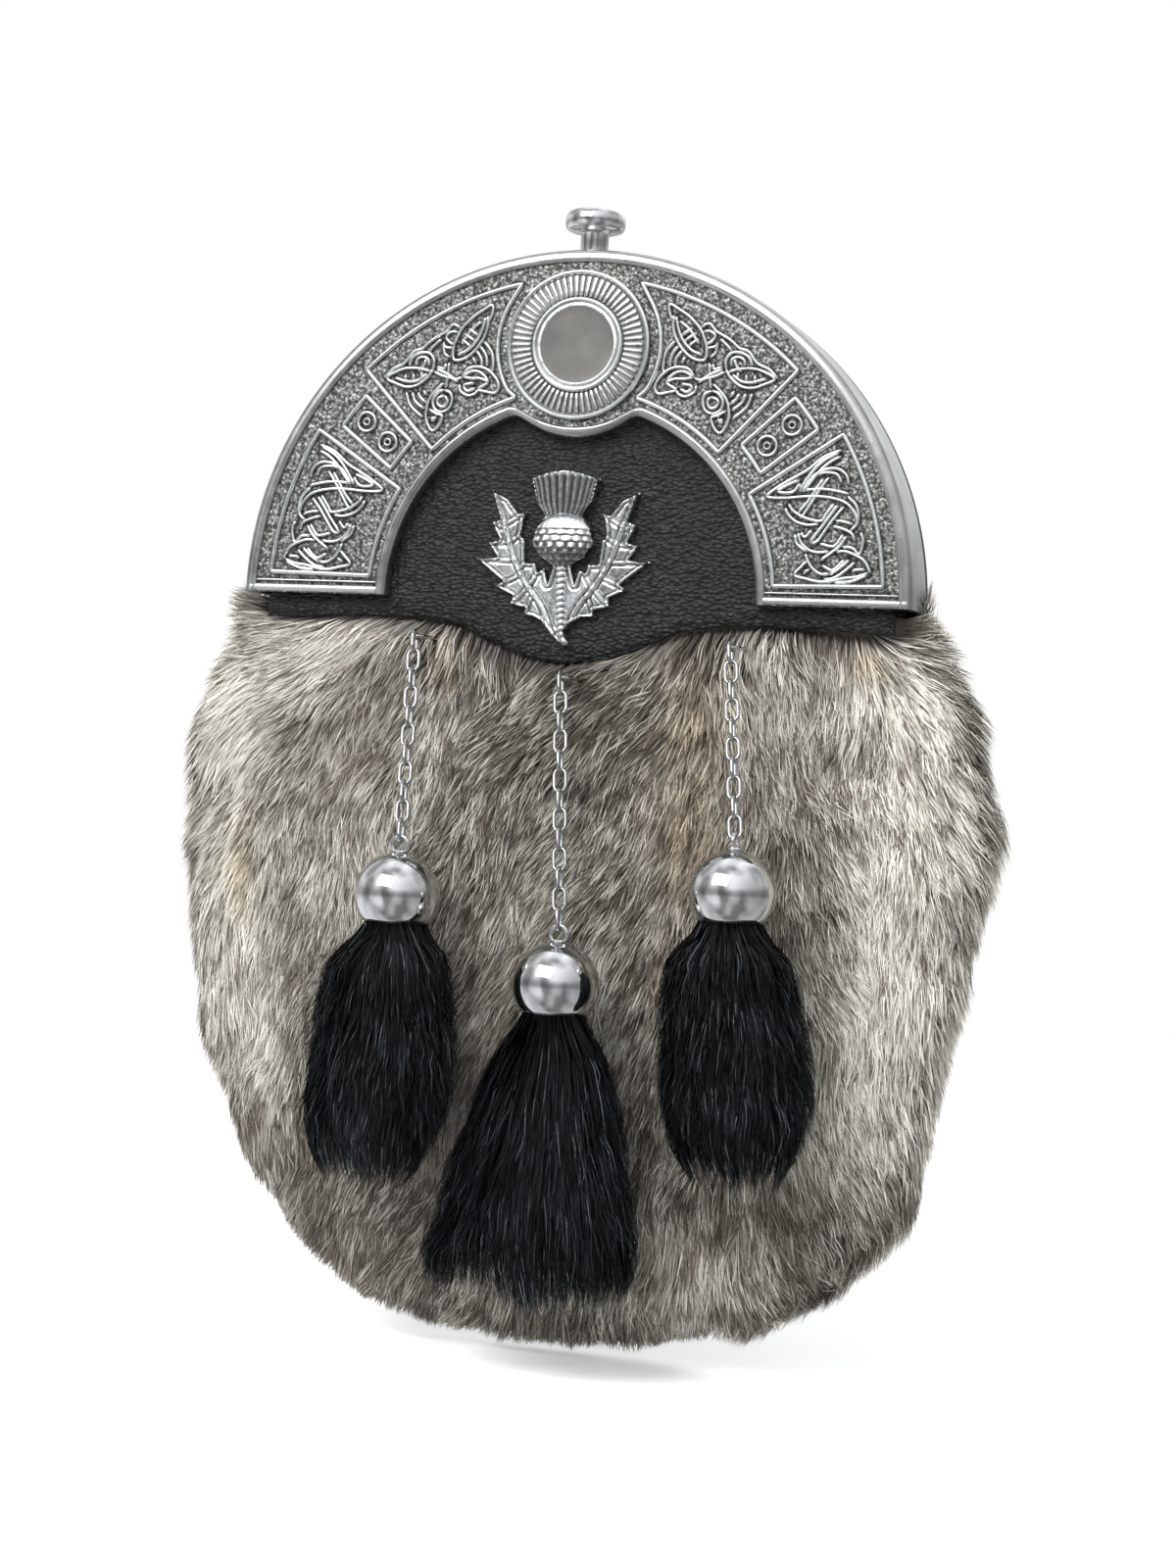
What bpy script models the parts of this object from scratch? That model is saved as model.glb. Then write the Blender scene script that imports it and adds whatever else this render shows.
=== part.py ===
"""Full-dress sporran: a fur pouch under an arched metal cantle, with three tassels on chains.

Lengths are metres. Every piece is drawn in the cantle's own frame, where y = 0 is the plane of the
cantle's front, z = 0 is the line of its feet, +x is to the right and +y to the back. One empty then
puts that frame where the middle of the hanger loop's passage is the origin.
"""
import math
import random

import bpy
import bmesh
from mathutils import Vector
from mathutils.bvhtree import BVHTree
from mathutils.geometry import delaunay_2d_cdt

# Clearance between two pieces that touch.
GAP = 0.0003
# Points nearer than this are one point.
MERGE_DISTANCE = 2e-7
# Faces that meet at a smaller angle are one flat face.
FLAT_ANGLE = math.radians(0.2)

# Cantle: the arch, its window and its side wall. Its ornament is given as shares of its radius.
CANTLE_RADIUS = 0.079
WINDOW_RADIUS = 0.5544 * CANTLE_RADIUS
CANTLE_DEPTH = 0.016
CANTLE_WALL = 0.0018
PLATE_THICKNESS = 0.0020
WINDOW_LIP = 0.0037
OUTER_RIM = 0.0030
INNER_RIM = 0.0025
GROUND_DEPTH = 0.0006
FOOT_BAR = 0.0015
BORDER_WIDTH = 0.0011
BORDER_HEIGHT = 0.0005
STRAND_WIDTH = 0.0017
STRAND_HEIGHT = 0.0006
# The knot's ring stands this much over its lobes, and a strand rises and falls so often.
RING_LIFT = 0.00007
WEAVES = 4
MITRE_LIMIT = 1.8
# How far a ridge's foot is sunk in the ground.
RIDGE_SINK = 0.0004
ARCH_STEPS = 28
# Ends in degrees of each panel's outer and inner side; the upper panel has a bay round the medallion.
UPPER_PANEL = ((78.7, 45.3), (44.6, 72.5))
UPPER_BAY = (-32, 30)
BAY_INSET = 0.019 * CANTLE_RADIUS
SMALL_PANEL = ((41.9, 34.5), (33.5, 41.9))
LOWER_PANEL = ((31.3, 3.7), (5.1, 30.4))
# The same sides as shares of the way from the window's rim to the outer rim.
PANEL_SIDES = (0.885, 0.045)
SMALL_SIDES = (0.74, 0.21)
# Knot of the upper panel: its middle on the arch, its reach, then its ring and a lobe's points as shares
# of that reach, the points with their radians off the lobe's axis.
KNOT_RADIUS = 0.7532 * CANTLE_RADIUS
KNOT_DEGREES = 59.0
KNOT_HALF = 0.1418 * CANTLE_RADIUS
KNOT_RING = 0.59
KNOT_LOBE = ((0.27, -0.80), (0.76, -0.42), (1.0, 0.0), (0.76, 0.42))
# Plait of the lower panel: its middle line, half width, ends in degrees, loops and points a side.
PLAIT_RADIUS = 0.7671 * CANTLE_RADIUS
PLAIT_HALF = 0.1139 * CANTLE_RADIUS
PLAIT_ENDS = (7.0, 28.5)
PLAIT_LOOPS = 4
PLAIT_POINTS = 12
# Studs of the small panel as (share of the arch's radius, degrees), and a stud's rows as shares of its
# radius and of a strand's height.
STUD_RADIUS = 0.0291 * CANTLE_RADIUS
STUDS = ((0.8114, 38.2), (0.7215, 37.9))
STUD_ROWS = ((0.0, -0.5), (1.0, -0.5), (0.8, 0.83), (0.5, 0.33), (0.0, 1.17))
# Foot bar: how far it stands inside the two rims, before them, below the feet and into the plate.
FOOT_INSET = 0.0005
FOOT_DROP = 0.00025
FOOT_FRONT = 0.0001
FOOT_BACK = 0.0016

# Medallion, on a round lobe of the cantle that dips into the window.
MEDALLION_Z = 0.7253 * CANTLE_RADIUS
MEDALLION_RADIUS = 0.2139 * CANTLE_RADIUS
LOBE_RADIUS = 0.2633 * CANTLE_RADIUS
MEDALLION_RIBS = 22
MEDALLION_HEIGHT = 0.0014

# Push knob on the top of the arch.
KNOB_Y = 0.0080
KNOB_RADIUS = 0.00685
KNOB_HEAD = 0.0050
KNOB_STEM_RADIUS = 0.0032
KNOB_STEM = 0.0053
KNOB_TRAVEL = 0.0030
COLLAR_WIDTH = 0.0009
COLLAR_HEIGHT = 0.0015
COLLAR_TOP = CANTLE_RADIUS - CANTLE_WALL - GAP - 0.0002
# Under the pressed knob, the leather and the pouch keep this much room.
KNOB_ROOM = 0.0022
ARCH_TOP = COLLAR_TOP - COLLAR_HEIGHT - KNOB_TRAVEL - KNOB_ROOM

# Leather front panel and the badge on it.
LEATHER = 0.0020
LEATHER_DROP = 0.0139
LEATHER_HALF = CANTLE_RADIUS - CANTLE_WALL - 0.0027
BADGE_X = -0.0020
BADGE_HALF_WIDTH = 0.0212
BADGE_HEIGHT = 0.0400
BADGE_FOOT_Z = -0.0105
BADGE_THICKNESS = 0.0015
BADGE_RELIEF = 0.0009

# Pouch: its skin's outline, wall and depth.
SKIN_HALF = 0.0870
SKIN_DROP = 0.1600
POUCH_ARCH = CANTLE_RADIUS - CANTLE_WALL - 0.0017
POUCH_BACK_Y = CANTLE_DEPTH
POUCH_BELLY = 0.0185
POUCH_TOP_DEPTH = 0.0076
POUCH_BOTTOM_DEPTH = 0.0130
# The dome's side wall as a share of its depth, and where belly and foot begin as shares of the drop.
SIDE_SHARE = 0.40
BELLY_START = 0.10
BELLY_SPAN = 0.34
FOOT_START = 0.66
POUCH_WALL = 0.0020
FUR_BACKING = 0.0015
FUR_GAP = 0.0005
FUR_TOP = -0.0012
LOCK_WIDTH = 0.0215
LOCK_THICKNESS = 0.0052
# A row's locks reach this share of the half width, and a root strays this much from its row.
ROW_REACH = 0.97
ROOT_STRAY = 0.003

# Back panel, its pocket mouth and the hanger loop.
MOUTH_WIDTH = 0.1100
MOUTH_HEIGHT = 0.0090
MOUTH_Z = -0.0260
HANGER_Z = 0.3797 * CANTLE_RADIUS
HANGER_WIDTH = 0.0240
STRAP_HEIGHT = 0.0280
STRAP_ROOM = 0.0052
HANGER_TAB = 0.0080

# Chains, ball caps and tassels.
LINK_LENGTH = 0.0059
LINK_WIDTH = 0.0035
LINK_WIRE = 0.00085
LINK_BITE = 0.00024
STAPLE_WIRE = 0.0009
STAPLE_HALF = 0.0017
CAP_RADIUS = 0.0095
CAP_WALL = 0.0008
CAP_MOUTH_DROP = 0.0058
EYE_RADIUS = 0.0019
EYE_WIRE = 0.0009
TASSEL_NECK_RADIUS = 0.0060
TASSEL_HALF_DEPTH = 0.0090

# name, top x, top z, top y, lean of the chain in x for each metre, the same in y, links
CHAINS = (
    ("left", -0.0325, -0.0098, -0.0075, 0.095, -0.285, 11),
    ("centre", 0.0030, -0.0180, -0.0085, 0.125, -0.225, 13),
    ("right", 0.0412, -0.0100, -0.0075, 0.166, -0.315, 10),
)

# name, half width, length, shift of the middle in x, shape of its outline
TASSELS = {
    "left": (0.0182, 0.0580, -0.0040, "ovate"),
    "centre": (0.0252, 0.0620, -0.0035, "flared"),
    "right": (0.0178, 0.0560, 0.0040, "ovate"),
}
# share of the tassel's length, share of its half width
TASSEL_SHAPES = {
    "ovate": ((0.00, 0.36), (0.10, 0.60), (0.25, 0.88), (0.45, 1.00), (0.65, 0.90), (0.82, 0.66)),
    "flared": ((0.00, 0.26), (0.10, 0.42), (0.25, 0.62), (0.45, 0.80), (0.68, 0.97), (0.86, 0.98)),
}

# The skin below the feet: share of SKIN_DROP, share of SKIN_HALF.
SKIN_ROWS = (
    (0.075, 0.900),
    (0.170, 0.970),
    (0.300, 1.000),
    (0.500, 0.960),
    (0.690, 0.880),
    (0.820, 0.770),
    (0.920, 0.590),
    (0.980, 0.330),
)
# Height of the dome's middle, and its rings: share of the outline, from the back edge to the middle.
DOME_CENTRE_Z = -0.3125 * SKIN_DROP
DOME_SHARES = (1.0, 0.94, 0.80, 0.58, 0.30)
# Locks of the fur: share of SKIN_DROP, locks in the row, their length, their lift
FUR_ROWS = (
    (0.04, 9, 0.028, 0.0010),
    (0.18, 8, 0.038, 0.0014),
    (0.34, 8, 0.040, 0.0016),
    (0.51, 7, 0.040, 0.0014),
    (0.68, 6, 0.038, 0.0012),
    (0.84, 5, 0.034, 0.0016),
)
# Lower edge of the leather panel: share of LEATHER_HALF, share of LEATHER_DROP.
LEATHER_EDGE = ((1.00, 0.40), (0.60, 0.31), (0.37, 0.42), (0.27, 0.63), (0.16, 0.86), (0.03, 1.00))

# Thistle: share of BADGE_HALF_WIDTH, share of BADGE_HEIGHT above its foot; the left half is a mirror.
# A leaf's outer edge from its top tip down, valley and tooth by turns.
LEAF_OUTER = (
    (0.83, 0.88), (0.72, 0.71), (0.82, 0.70), (0.72, 0.60), (0.85, 0.58), (0.74, 0.50),
    (0.98, 0.49), (0.66, 0.36), (0.75, 0.33), (0.54, 0.28), (0.57, 0.23), (0.38, 0.21), (0.41, 0.17),
)
# Its inner edge from the stem up to the top tip.
LEAF_INNER = (
    (0.15, 0.35), (0.20, 0.44), (0.27, 0.42), (0.29, 0.47), (0.41, 0.47), (0.44, 0.61),
    (0.48, 0.62), (0.46, 0.72), (0.42, 0.76), (0.52, 0.75), (0.64, 0.83),
)
LEAF_MIDRIB = ((0.76, 0.84), (0.65, 0.66), (0.53, 0.48), (0.36, 0.33), (0.20, 0.22))
LEAF_VEINS = (
    ((0.65, 0.66), (0.77, 0.69)),
    ((0.60, 0.58), (0.79, 0.57)),
    ((0.53, 0.48), (0.88, 0.48)),
    ((0.44, 0.40), (0.69, 0.33)),
    ((0.36, 0.33), (0.52, 0.24)),
    ((0.60, 0.58), (0.49, 0.63)),
)
BULB_EDGE = ((0.10, 0.45), (0.25, 0.50), (0.35, 0.58), (0.30, 0.68), (0.22, 0.735))
FLOWER_EDGE = ((0.30, 0.80), (0.38, 0.95), (0.17, 0.985), (0.00, 1.00))
STEM_EDGE = ((0.10, 0.14), (0.14, 0.04), (0.06, 0.00))

# Knob's head from its stem up: share of its radius, share of its height.
KNOB_ROWS = ((0.86, 0.0), (0.97, 0.15), (1.0, 0.4), (0.96, 0.72), (0.78, 0.94), (0.0, 1.0))
# Medallion from its back to its front: share of its radius, share of its height, height of its ribs.
MEDALLION_ROWS = (
    (1.00, 0.00, 0.00), (1.00, 0.40, 0.00), (0.93, 0.45, 0.00), (0.90, 0.40, 0.32), (0.64, 0.40, 0.32),
    (0.61, 1.00, 0.00), (0.565, 0.65, 0.00),
)

COLOURS = {
    "cantle": ((0.42, 0.42, 0.43), 0.32, 1.0),
    "medallion": ((0.50, 0.50, 0.51), 0.25, 1.0),
    "push_knob": ((0.62, 0.62, 0.64), 0.12, 1.0),
    "leather": ((0.012, 0.012, 0.013), 0.55, 0.0),
    "thistle_badge": ((0.58, 0.58, 0.60), 0.20, 1.0),
    "pouch": ((0.030, 0.026, 0.024), 0.65, 0.0),
    "fur": ((0.22, 0.18, 0.15), 0.90, 0.0),
    "chrome": ((0.60, 0.60, 0.62), 0.10, 1.0),
    "tassel": ((0.010, 0.010, 0.012), 0.85, 0.0),
}


def clear_scene():
    for item in list(bpy.data.objects):
        bpy.data.objects.remove(item, do_unlink=True)


def material(look):
    """The finish of that name, made once."""
    if look in bpy.data.materials:
        return bpy.data.materials[look]
    colour, roughness, metallic = COLOURS[look]
    made = bpy.data.materials.new(look)
    made.use_nodes = True
    shader = made.node_tree.nodes["Principled BSDF"]
    shader.inputs["Base Color"].default_value = (*colour, 1.0)
    shader.inputs["Roughness"].default_value = roughness
    shader.inputs["Metallic"].default_value = metallic
    return made


def closed_mesh(name, points, faces):
    """A mesh of triangles that all point out."""
    mesh = bpy.data.meshes.new(name)
    mesh.from_pydata([tuple(point) for point in points], [], faces)
    work = bmesh.new()
    work.from_mesh(mesh)
    bmesh.ops.triangulate(work, faces=work.faces)
    bmesh.ops.recalc_face_normals(work, faces=work.faces)
    work.to_mesh(mesh)
    work.free()
    return mesh


def loft(name, rings, loop=False, poles=(None, None)):
    """Skin a row of rings with equally many points; each end is a flat cap or closes on a pole."""
    count = len(rings[0])
    points = [point for ring in rings for point in ring]
    faces = []
    steps = len(rings) if loop else len(rings) - 1
    for step in range(steps):
        low = step * count
        high = (step + 1) % len(rings) * count
        for i in range(count):
            j = (i + 1) % count
            faces.append((low + i, low + j, high + j, high + i))
    if not loop:
        for pole, first in zip(poles, (0, (len(rings) - 1) * count)):
            if pole is None:
                faces.append(tuple(range(first, first + count)))
                continue
            points.append(pole)
            faces += [(first + i, first + (i + 1) % count, len(points) - 1) for i in range(count)]
    return closed_mesh(name, points, faces)


def merge(meshes):
    """Several meshes as one, not yet joined where they cross."""
    points, faces = [], []
    for mesh in meshes:
        base = len(points)
        points += [vertex.co.copy() for vertex in mesh.vertices]
        faces += [tuple(base + i for i in face.vertices) for face in mesh.polygons]
    return closed_mesh("merged", points, faces)


def combine(base, tools, operation="UNION"):
    """Join the base with the tools, or cut it by them, as one clean mesh."""
    pair = []
    for name, mesh in (("work_base", base), ("work_tool", merge(tools))):
        item = bpy.data.objects.new(name, mesh)
        bpy.context.scene.collection.objects.link(item)
        item.hide_render = True
        item.display_type = "WIRE"
        pair.append(item)
    step = pair[0].modifiers.new("combine", "BOOLEAN")
    step.operation = operation
    step.solver = "EXACT"
    step.use_self = True
    step.object = pair[1]
    graph = bpy.context.evaluated_depsgraph_get()
    result = bpy.data.meshes.new_from_object(pair[0].evaluated_get(graph))
    for item in pair:
        bpy.data.objects.remove(item, do_unlink=True)
    work = bmesh.new()
    work.from_mesh(result)
    bmesh.ops.remove_doubles(work, verts=work.verts, dist=MERGE_DISTANCE)
    bmesh.ops.dissolve_degenerate(work, edges=work.edges, dist=MERGE_DISTANCE)
    bmesh.ops.dissolve_limit(work, angle_limit=FLAT_ANGLE, verts=work.verts, edges=work.edges)
    bmesh.ops.triangulate(work, faces=work.faces)
    work.to_mesh(result)
    work.free()
    return result


def add_piece(name, mesh, look, frame, place=(0.0, 0.0, 0.0)):
    """Show a mesh as the piece of that name; place is its own origin in the cantle's frame."""
    for vertex in mesh.vertices:
        vertex.co -= Vector(place)
    mesh.materials.clear()
    mesh.materials.append(material(look))
    mesh.name = name
    mesh.shade_smooth()
    mesh.set_sharp_from_angle(angle=math.radians(35))
    item = bpy.data.objects.new(name, mesh)
    item.parent = frame
    item.location = place
    bpy.context.scene.collection.objects.link(item)
    return item


def tube(name, path, radius, sides, loop=False, up=Vector((0, 1, 0))):
    """A round wire along a path."""
    rings = []
    count = len(path)
    for i, point in enumerate(path):
        before = path[(i - 1) % count] if loop or i > 0 else point
        after = path[(i + 1) % count] if loop or i < count - 1 else point
        along = (after - before).normalized()
        side = along.cross(up)
        if side.length < 1e-6:
            side = along.cross(Vector((1, 0, 0)))
        side.normalize()
        out = side.cross(along)
        rings.append([
            point + radius * (math.cos(turn) * side + math.sin(turn) * out)
            for turn in (2 * math.pi * k / sides for k in range(sides))
        ])
    return loft(name, rings, loop)


def turned(name, profile, sides, centre, axis="z"):
    """Turn a profile of (radius, height) rows about an axis; a radius of 0 at an end is a pole."""
    def place(radius, height, turn):
        across, along = radius * math.cos(turn), radius * math.sin(turn)
        if axis == "z":
            return Vector(centre) + Vector((across, along, height))
        return Vector(centre) + Vector((across, -height, along))

    rows = [row for row in profile if row[0] > 0]
    rings = [
        [place(radius, height, 2 * math.pi * k / sides) for k in range(sides)] for radius, height in rows
    ]
    ends = [place(0, row[1], 0) if row[0] == 0 else None for row in (profile[0], profile[-1])]
    return loft(name, rings, poles=ends)


def polar(radius, degrees):
    """A point (x, z) of the arch, from its centre between the feet; 90 degrees is the top."""
    turn = math.radians(degrees)
    return (radius * math.cos(turn), radius * math.sin(turn))


def arc(radius, start, end, count, centre=(0.0, 0.0)):
    """Points (x, z) along an arc, both ends included."""
    return [
        (centre[0] + radius * math.cos(math.radians(start + (end - start) * i / (count - 1))),
         centre[1] + radius * math.sin(math.radians(start + (end - start) * i / (count - 1))))
        for i in range(count)
    ]


def arch_points(half, top, count):
    """Points (x, z) over an arch that stands on the foot line."""
    return [(half * x, top * z) for x, z in arc(1.0, 0, 180, count)]


def raised_line(path, width, height, wave=None):
    """A closed ridge on the cantle's ground; wave gives each point's extra height."""
    rings = []
    count = len(path)
    for i, (x, z) in enumerate(path):
        here = Vector((x, z))
        first = (here - Vector(path[(i - 1) % count])).normalized()
        second = (Vector(path[(i + 1) % count]) - here).normalized()
        side = Vector((first.y + second.y, -first.x - second.x)).normalized()
        side *= min(MITRE_LIMIT, 1 / max(0.1, side.dot(Vector((first.y, -first.x)))))
        lift = height + (wave[i] if wave else 0.0)
        rings.append([
            Vector((x + side.x * width / 2, GROUND_DEPTH + RIDGE_SINK, z + side.y * width / 2)),
            Vector((x, GROUND_DEPTH - lift, z)),
            Vector((x - side.x * width / 2, GROUND_DEPTH + RIDGE_SINK, z - side.y * width / 2)),
        ])
    return loft("ridge", rings, loop=True)


def window_edge(degrees):
    """Radius of the window's edge at an angle of the arch, with the medallion's lobe."""
    off_top = math.radians(degrees - 90)
    reach = LOBE_RADIUS ** 2 - (MEDALLION_Z * math.sin(off_top)) ** 2
    if reach <= 0:
        return WINDOW_RADIUS
    return min(WINDOW_RADIUS, MEDALLION_Z * math.cos(off_top) - math.sqrt(reach))


def cantle_section(degrees):
    """The cast arch's section at an angle, as (radius, y) rows."""
    edge = window_edge(degrees)
    back = GROUND_DEPTH + PLATE_THICKNESS
    return (
        (edge, WINDOW_LIP),
        (edge, INNER_RIM * 0.3),
        (edge + INNER_RIM * 0.3, 0.0),
        (edge + INNER_RIM * 0.8, 0.0),
        (edge + INNER_RIM, GROUND_DEPTH),
        (CANTLE_RADIUS - OUTER_RIM, GROUND_DEPTH),
        (CANTLE_RADIUS - OUTER_RIM * 0.8, 0.0),
        (CANTLE_RADIUS - OUTER_RIM * 0.35, 0.0),
        (CANTLE_RADIUS, OUTER_RIM * 0.4),
        (CANTLE_RADIUS, CANTLE_DEPTH),
        (CANTLE_RADIUS - CANTLE_WALL, CANTLE_DEPTH),
        (CANTLE_RADIUS - CANTLE_WALL, back),
        (edge + INNER_RIM * 0.6, back),
        (edge + INNER_RIM * 0.6, WINDOW_LIP),
    )


def panel_borders(mirror):
    """The raised outlines of one side's three panels."""
    span = CANTLE_RADIUS - OUTER_RIM - WINDOW_RADIUS - INNER_RIM
    inner = WINDOW_RADIUS + INNER_RIM
    high, low = (inner + share * span for share in PANEL_SIDES)
    small_high, small_low = (inner + share * span for share in SMALL_SIDES)
    upper = arc(high, *UPPER_PANEL[0], 6) + arc(low, *UPPER_PANEL[1], 5)
    upper += arc(LOBE_RADIUS - BAY_INSET, *UPPER_BAY, 4, (0.0, MEDALLION_Z))
    small = arc(small_high, *SMALL_PANEL[0], 3) + arc(small_low, *SMALL_PANEL[1], 3)
    lower = arc(high, *LOWER_PANEL[0], 5) + arc(low, *LOWER_PANEL[1], 5)
    return [[(mirror * x, z) for x, z in path] for path in (upper, small, lower)]


def quatrefoil(mirror):
    """Strands of the four-lobed knot in an upper panel."""
    middle = polar(KNOT_RADIUS, KNOT_DEGREES)
    turn = math.radians(KNOT_DEGREES)
    petals = []
    for k in range(4):
        lean = k * math.pi / 2
        for share, off in KNOT_LOBE:
            x, z = (KNOT_HALF * share * way(lean + off) for way in (math.cos, math.sin))
            petals.append((x, z))
    radius = KNOT_HALF * KNOT_RING
    ring = [(radius * math.cos(a), radius * math.sin(a)) for a in (2 * math.pi * k / 12 for k in range(12))]
    strands = []
    for strand in (petals, ring):
        strands.append([
            (mirror * (middle[0] + x * math.cos(turn) - z * math.sin(turn)),
             middle[1] + x * math.sin(turn) + z * math.cos(turn))
            for x, z in strand
        ])
    return strands


def plait(mirror):
    """The strand of a lower panel's plait: out along one side and back along the other."""
    first, last = PLAIT_ENDS
    path = []
    for way in (1, -1):
        for i in range(PLAIT_POINTS):
            share = i / PLAIT_POINTS if way == 1 else 1 - i / PLAIT_POINTS
            swing = way * PLAIT_HALF * (1.0 - 0.2 * share) * math.sin(math.pi * PLAIT_LOOPS * share)
            x, z = polar(PLAIT_RADIUS + swing, first + (last - first) * share)
            path.append((mirror * x, z))
    return path


def weave(path):
    """A small rise and fall along a strand, for its way over and under."""
    return [STRAND_HEIGHT * 0.25 * math.sin(WEAVES * 2 * math.pi * i / len(path))
            for i in range(len(path))]


def build_cantle():
    """The cast arch with its borders, knots, studs and foot bars."""
    rings = []
    for i in range(ARCH_STEPS + 1):
        degrees = 180 * i / ARCH_STEPS
        rings.append([
            Vector((radius * math.cos(math.radians(degrees)), y, radius * math.sin(math.radians(degrees))))
            for radius, y in cantle_section(degrees)
        ])
    body = loft("arch", rings)
    relief = []
    for mirror in (1, -1):
        for path in panel_borders(mirror):
            relief.append(raised_line(path, BORDER_WIDTH, BORDER_HEIGHT))
        for k, path in enumerate(quatrefoil(mirror) + [plait(mirror)]):
            height = STRAND_HEIGHT + (RING_LIFT if k == 1 else 0.0)
            relief.append(raised_line(path, STRAND_WIDTH, height, weave(path)))
        rows = [(STUD_RADIUS * across, STRAND_HEIGHT * up) for across, up in STUD_ROWS]
        for share, degrees in STUDS:
            x, z = polar(CANTLE_RADIUS * share, degrees)
            relief.append(turned("stud", rows, 10, (mirror * x, GROUND_DEPTH, z), axis="y"))
        low, high = WINDOW_RADIUS + FOOT_INSET, CANTLE_RADIUS - FOOT_INSET
        outline = [(low, -FOOT_DROP), (high, -FOOT_DROP), (high, FOOT_BAR), (low, FOOT_BAR)]
        rings = [[Vector((mirror * x, y, z)) for x, z in outline] for y in (FOOT_FRONT, FOOT_BACK)]
        relief.append(loft("foot_bar", rings))
    bore = KNOB_STEM_RADIUS + GAP
    reach = 2 * CANTLE_WALL
    rows = ((0, -reach), (bore, -reach), (bore, reach), (0, reach))
    hole = turned("stem_hole", rows, 16, (0.0, KNOB_Y, CANTLE_RADIUS))
    body = combine(body, [hole], "DIFFERENCE")
    for piece in relief:
        body = combine(body, [piece])
    return body


def build_medallion():
    """Boss turned in one: plain disc, bezel, radial ribs and a bevelled edge."""
    columns = 2 * MEDALLION_RIBS
    rings = []
    for share, rise, rib in MEDALLION_ROWS:
        ring = []
        for k in range(columns):
            turn = 2 * math.pi * k / columns
            radius = MEDALLION_RADIUS * share
            height = MEDALLION_HEIGHT * (rise + (rib if k % 2 else 0.0))
            ring.append(Vector((
                radius * math.cos(turn), GROUND_DEPTH - GAP - height, MEDALLION_Z + radius * math.sin(turn),
            )))
        rings.append(ring)
    return loft("medallion", rings)


def build_knob():
    """Head, stem and the collar that keeps it in the cantle, turned in one."""
    head = CANTLE_RADIUS + KNOB_STEM
    collar = KNOB_STEM_RADIUS + COLLAR_WIDTH
    rows = (
        (0, COLLAR_TOP - COLLAR_HEIGHT), (collar, COLLAR_TOP - COLLAR_HEIGHT), (collar, COLLAR_TOP),
        (KNOB_STEM_RADIUS, COLLAR_TOP), (KNOB_STEM_RADIUS, head),
    ) + tuple((KNOB_RADIUS * across, head + KNOB_HEAD * up) for across, up in KNOB_ROWS)
    return turned("knob", rows, 14, (0.0, KNOB_Y, 0.0))


def leather_y():
    """Front face of the leather panel, against the window's lip."""
    return WINDOW_LIP + GAP


def build_leather_front():
    """Flat panel: an arch above the feet and a blunt point below them."""
    arch = arch_points(LEATHER_HALF, ARCH_TOP, 19)
    left = [(-LEATHER_HALF * across, -LEATHER_DROP * down) for across, down in LEATHER_EDGE]
    right = [(-x, z) for x, z in reversed(left)]
    outline = arch + left + right
    rings = [[Vector((x, y, z)) for x, z in outline] for y in (leather_y(), leather_y() + LEATHER)]
    return loft("leather", rings)


def badge_point(share, mirror=1):
    """A share of the badge's size as (x, z)."""
    return (BADGE_X + mirror * BADGE_HALF_WIDTH * share[0], BADGE_FOOT_Z + BADGE_HEIGHT * share[1])


def build_thistle():
    """The badge: one outline, with ridges raised on its front."""
    right = (
        list(reversed(FLOWER_EDGE)) + list(reversed(BULB_EDGE)) + list(LEAF_INNER) + list(LEAF_OUTER)
        + list(STEM_EDGE)
    )
    outline = [badge_point(share) for share in right]
    outline += [badge_point(share, -1) for share in reversed(right[1:])]
    lines = []
    for mirror in (1, -1):
        lines.append(([badge_point(share, mirror) for share in LEAF_MIDRIB], 1.0))
        for vein in LEAF_VEINS:
            start, end = (Vector(badge_point(share, mirror)) for share in vein)
            lines.append(([tuple(start.lerp(end, t)) for t in (0.15, 0.75)], 0.75))
    for across in (-0.26, -0.13, 0.0, 0.13, 0.26):
        base, top = badge_point((across * 0.75, 0.77)), badge_point((across, 0.955))
        lines.append(([base, top], 1.0))
    bulb = [badge_point((0.17 * math.cos(a), 0.60 + 0.075 * math.sin(a))) for a in
            (2 * math.pi * k / 8 for k in range(8))]
    lines.append((bulb + [bulb[0]], 1.5))
    lines.append(([badge_point((0.0, 0.60)), badge_point((0.0, 0.61))], 2.0))
    lines.append(([badge_point((0.0, share)) for share in (0.06, 0.2, 0.34, 0.42)], 0.8))
    return relief_plate(outline, lines)


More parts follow.
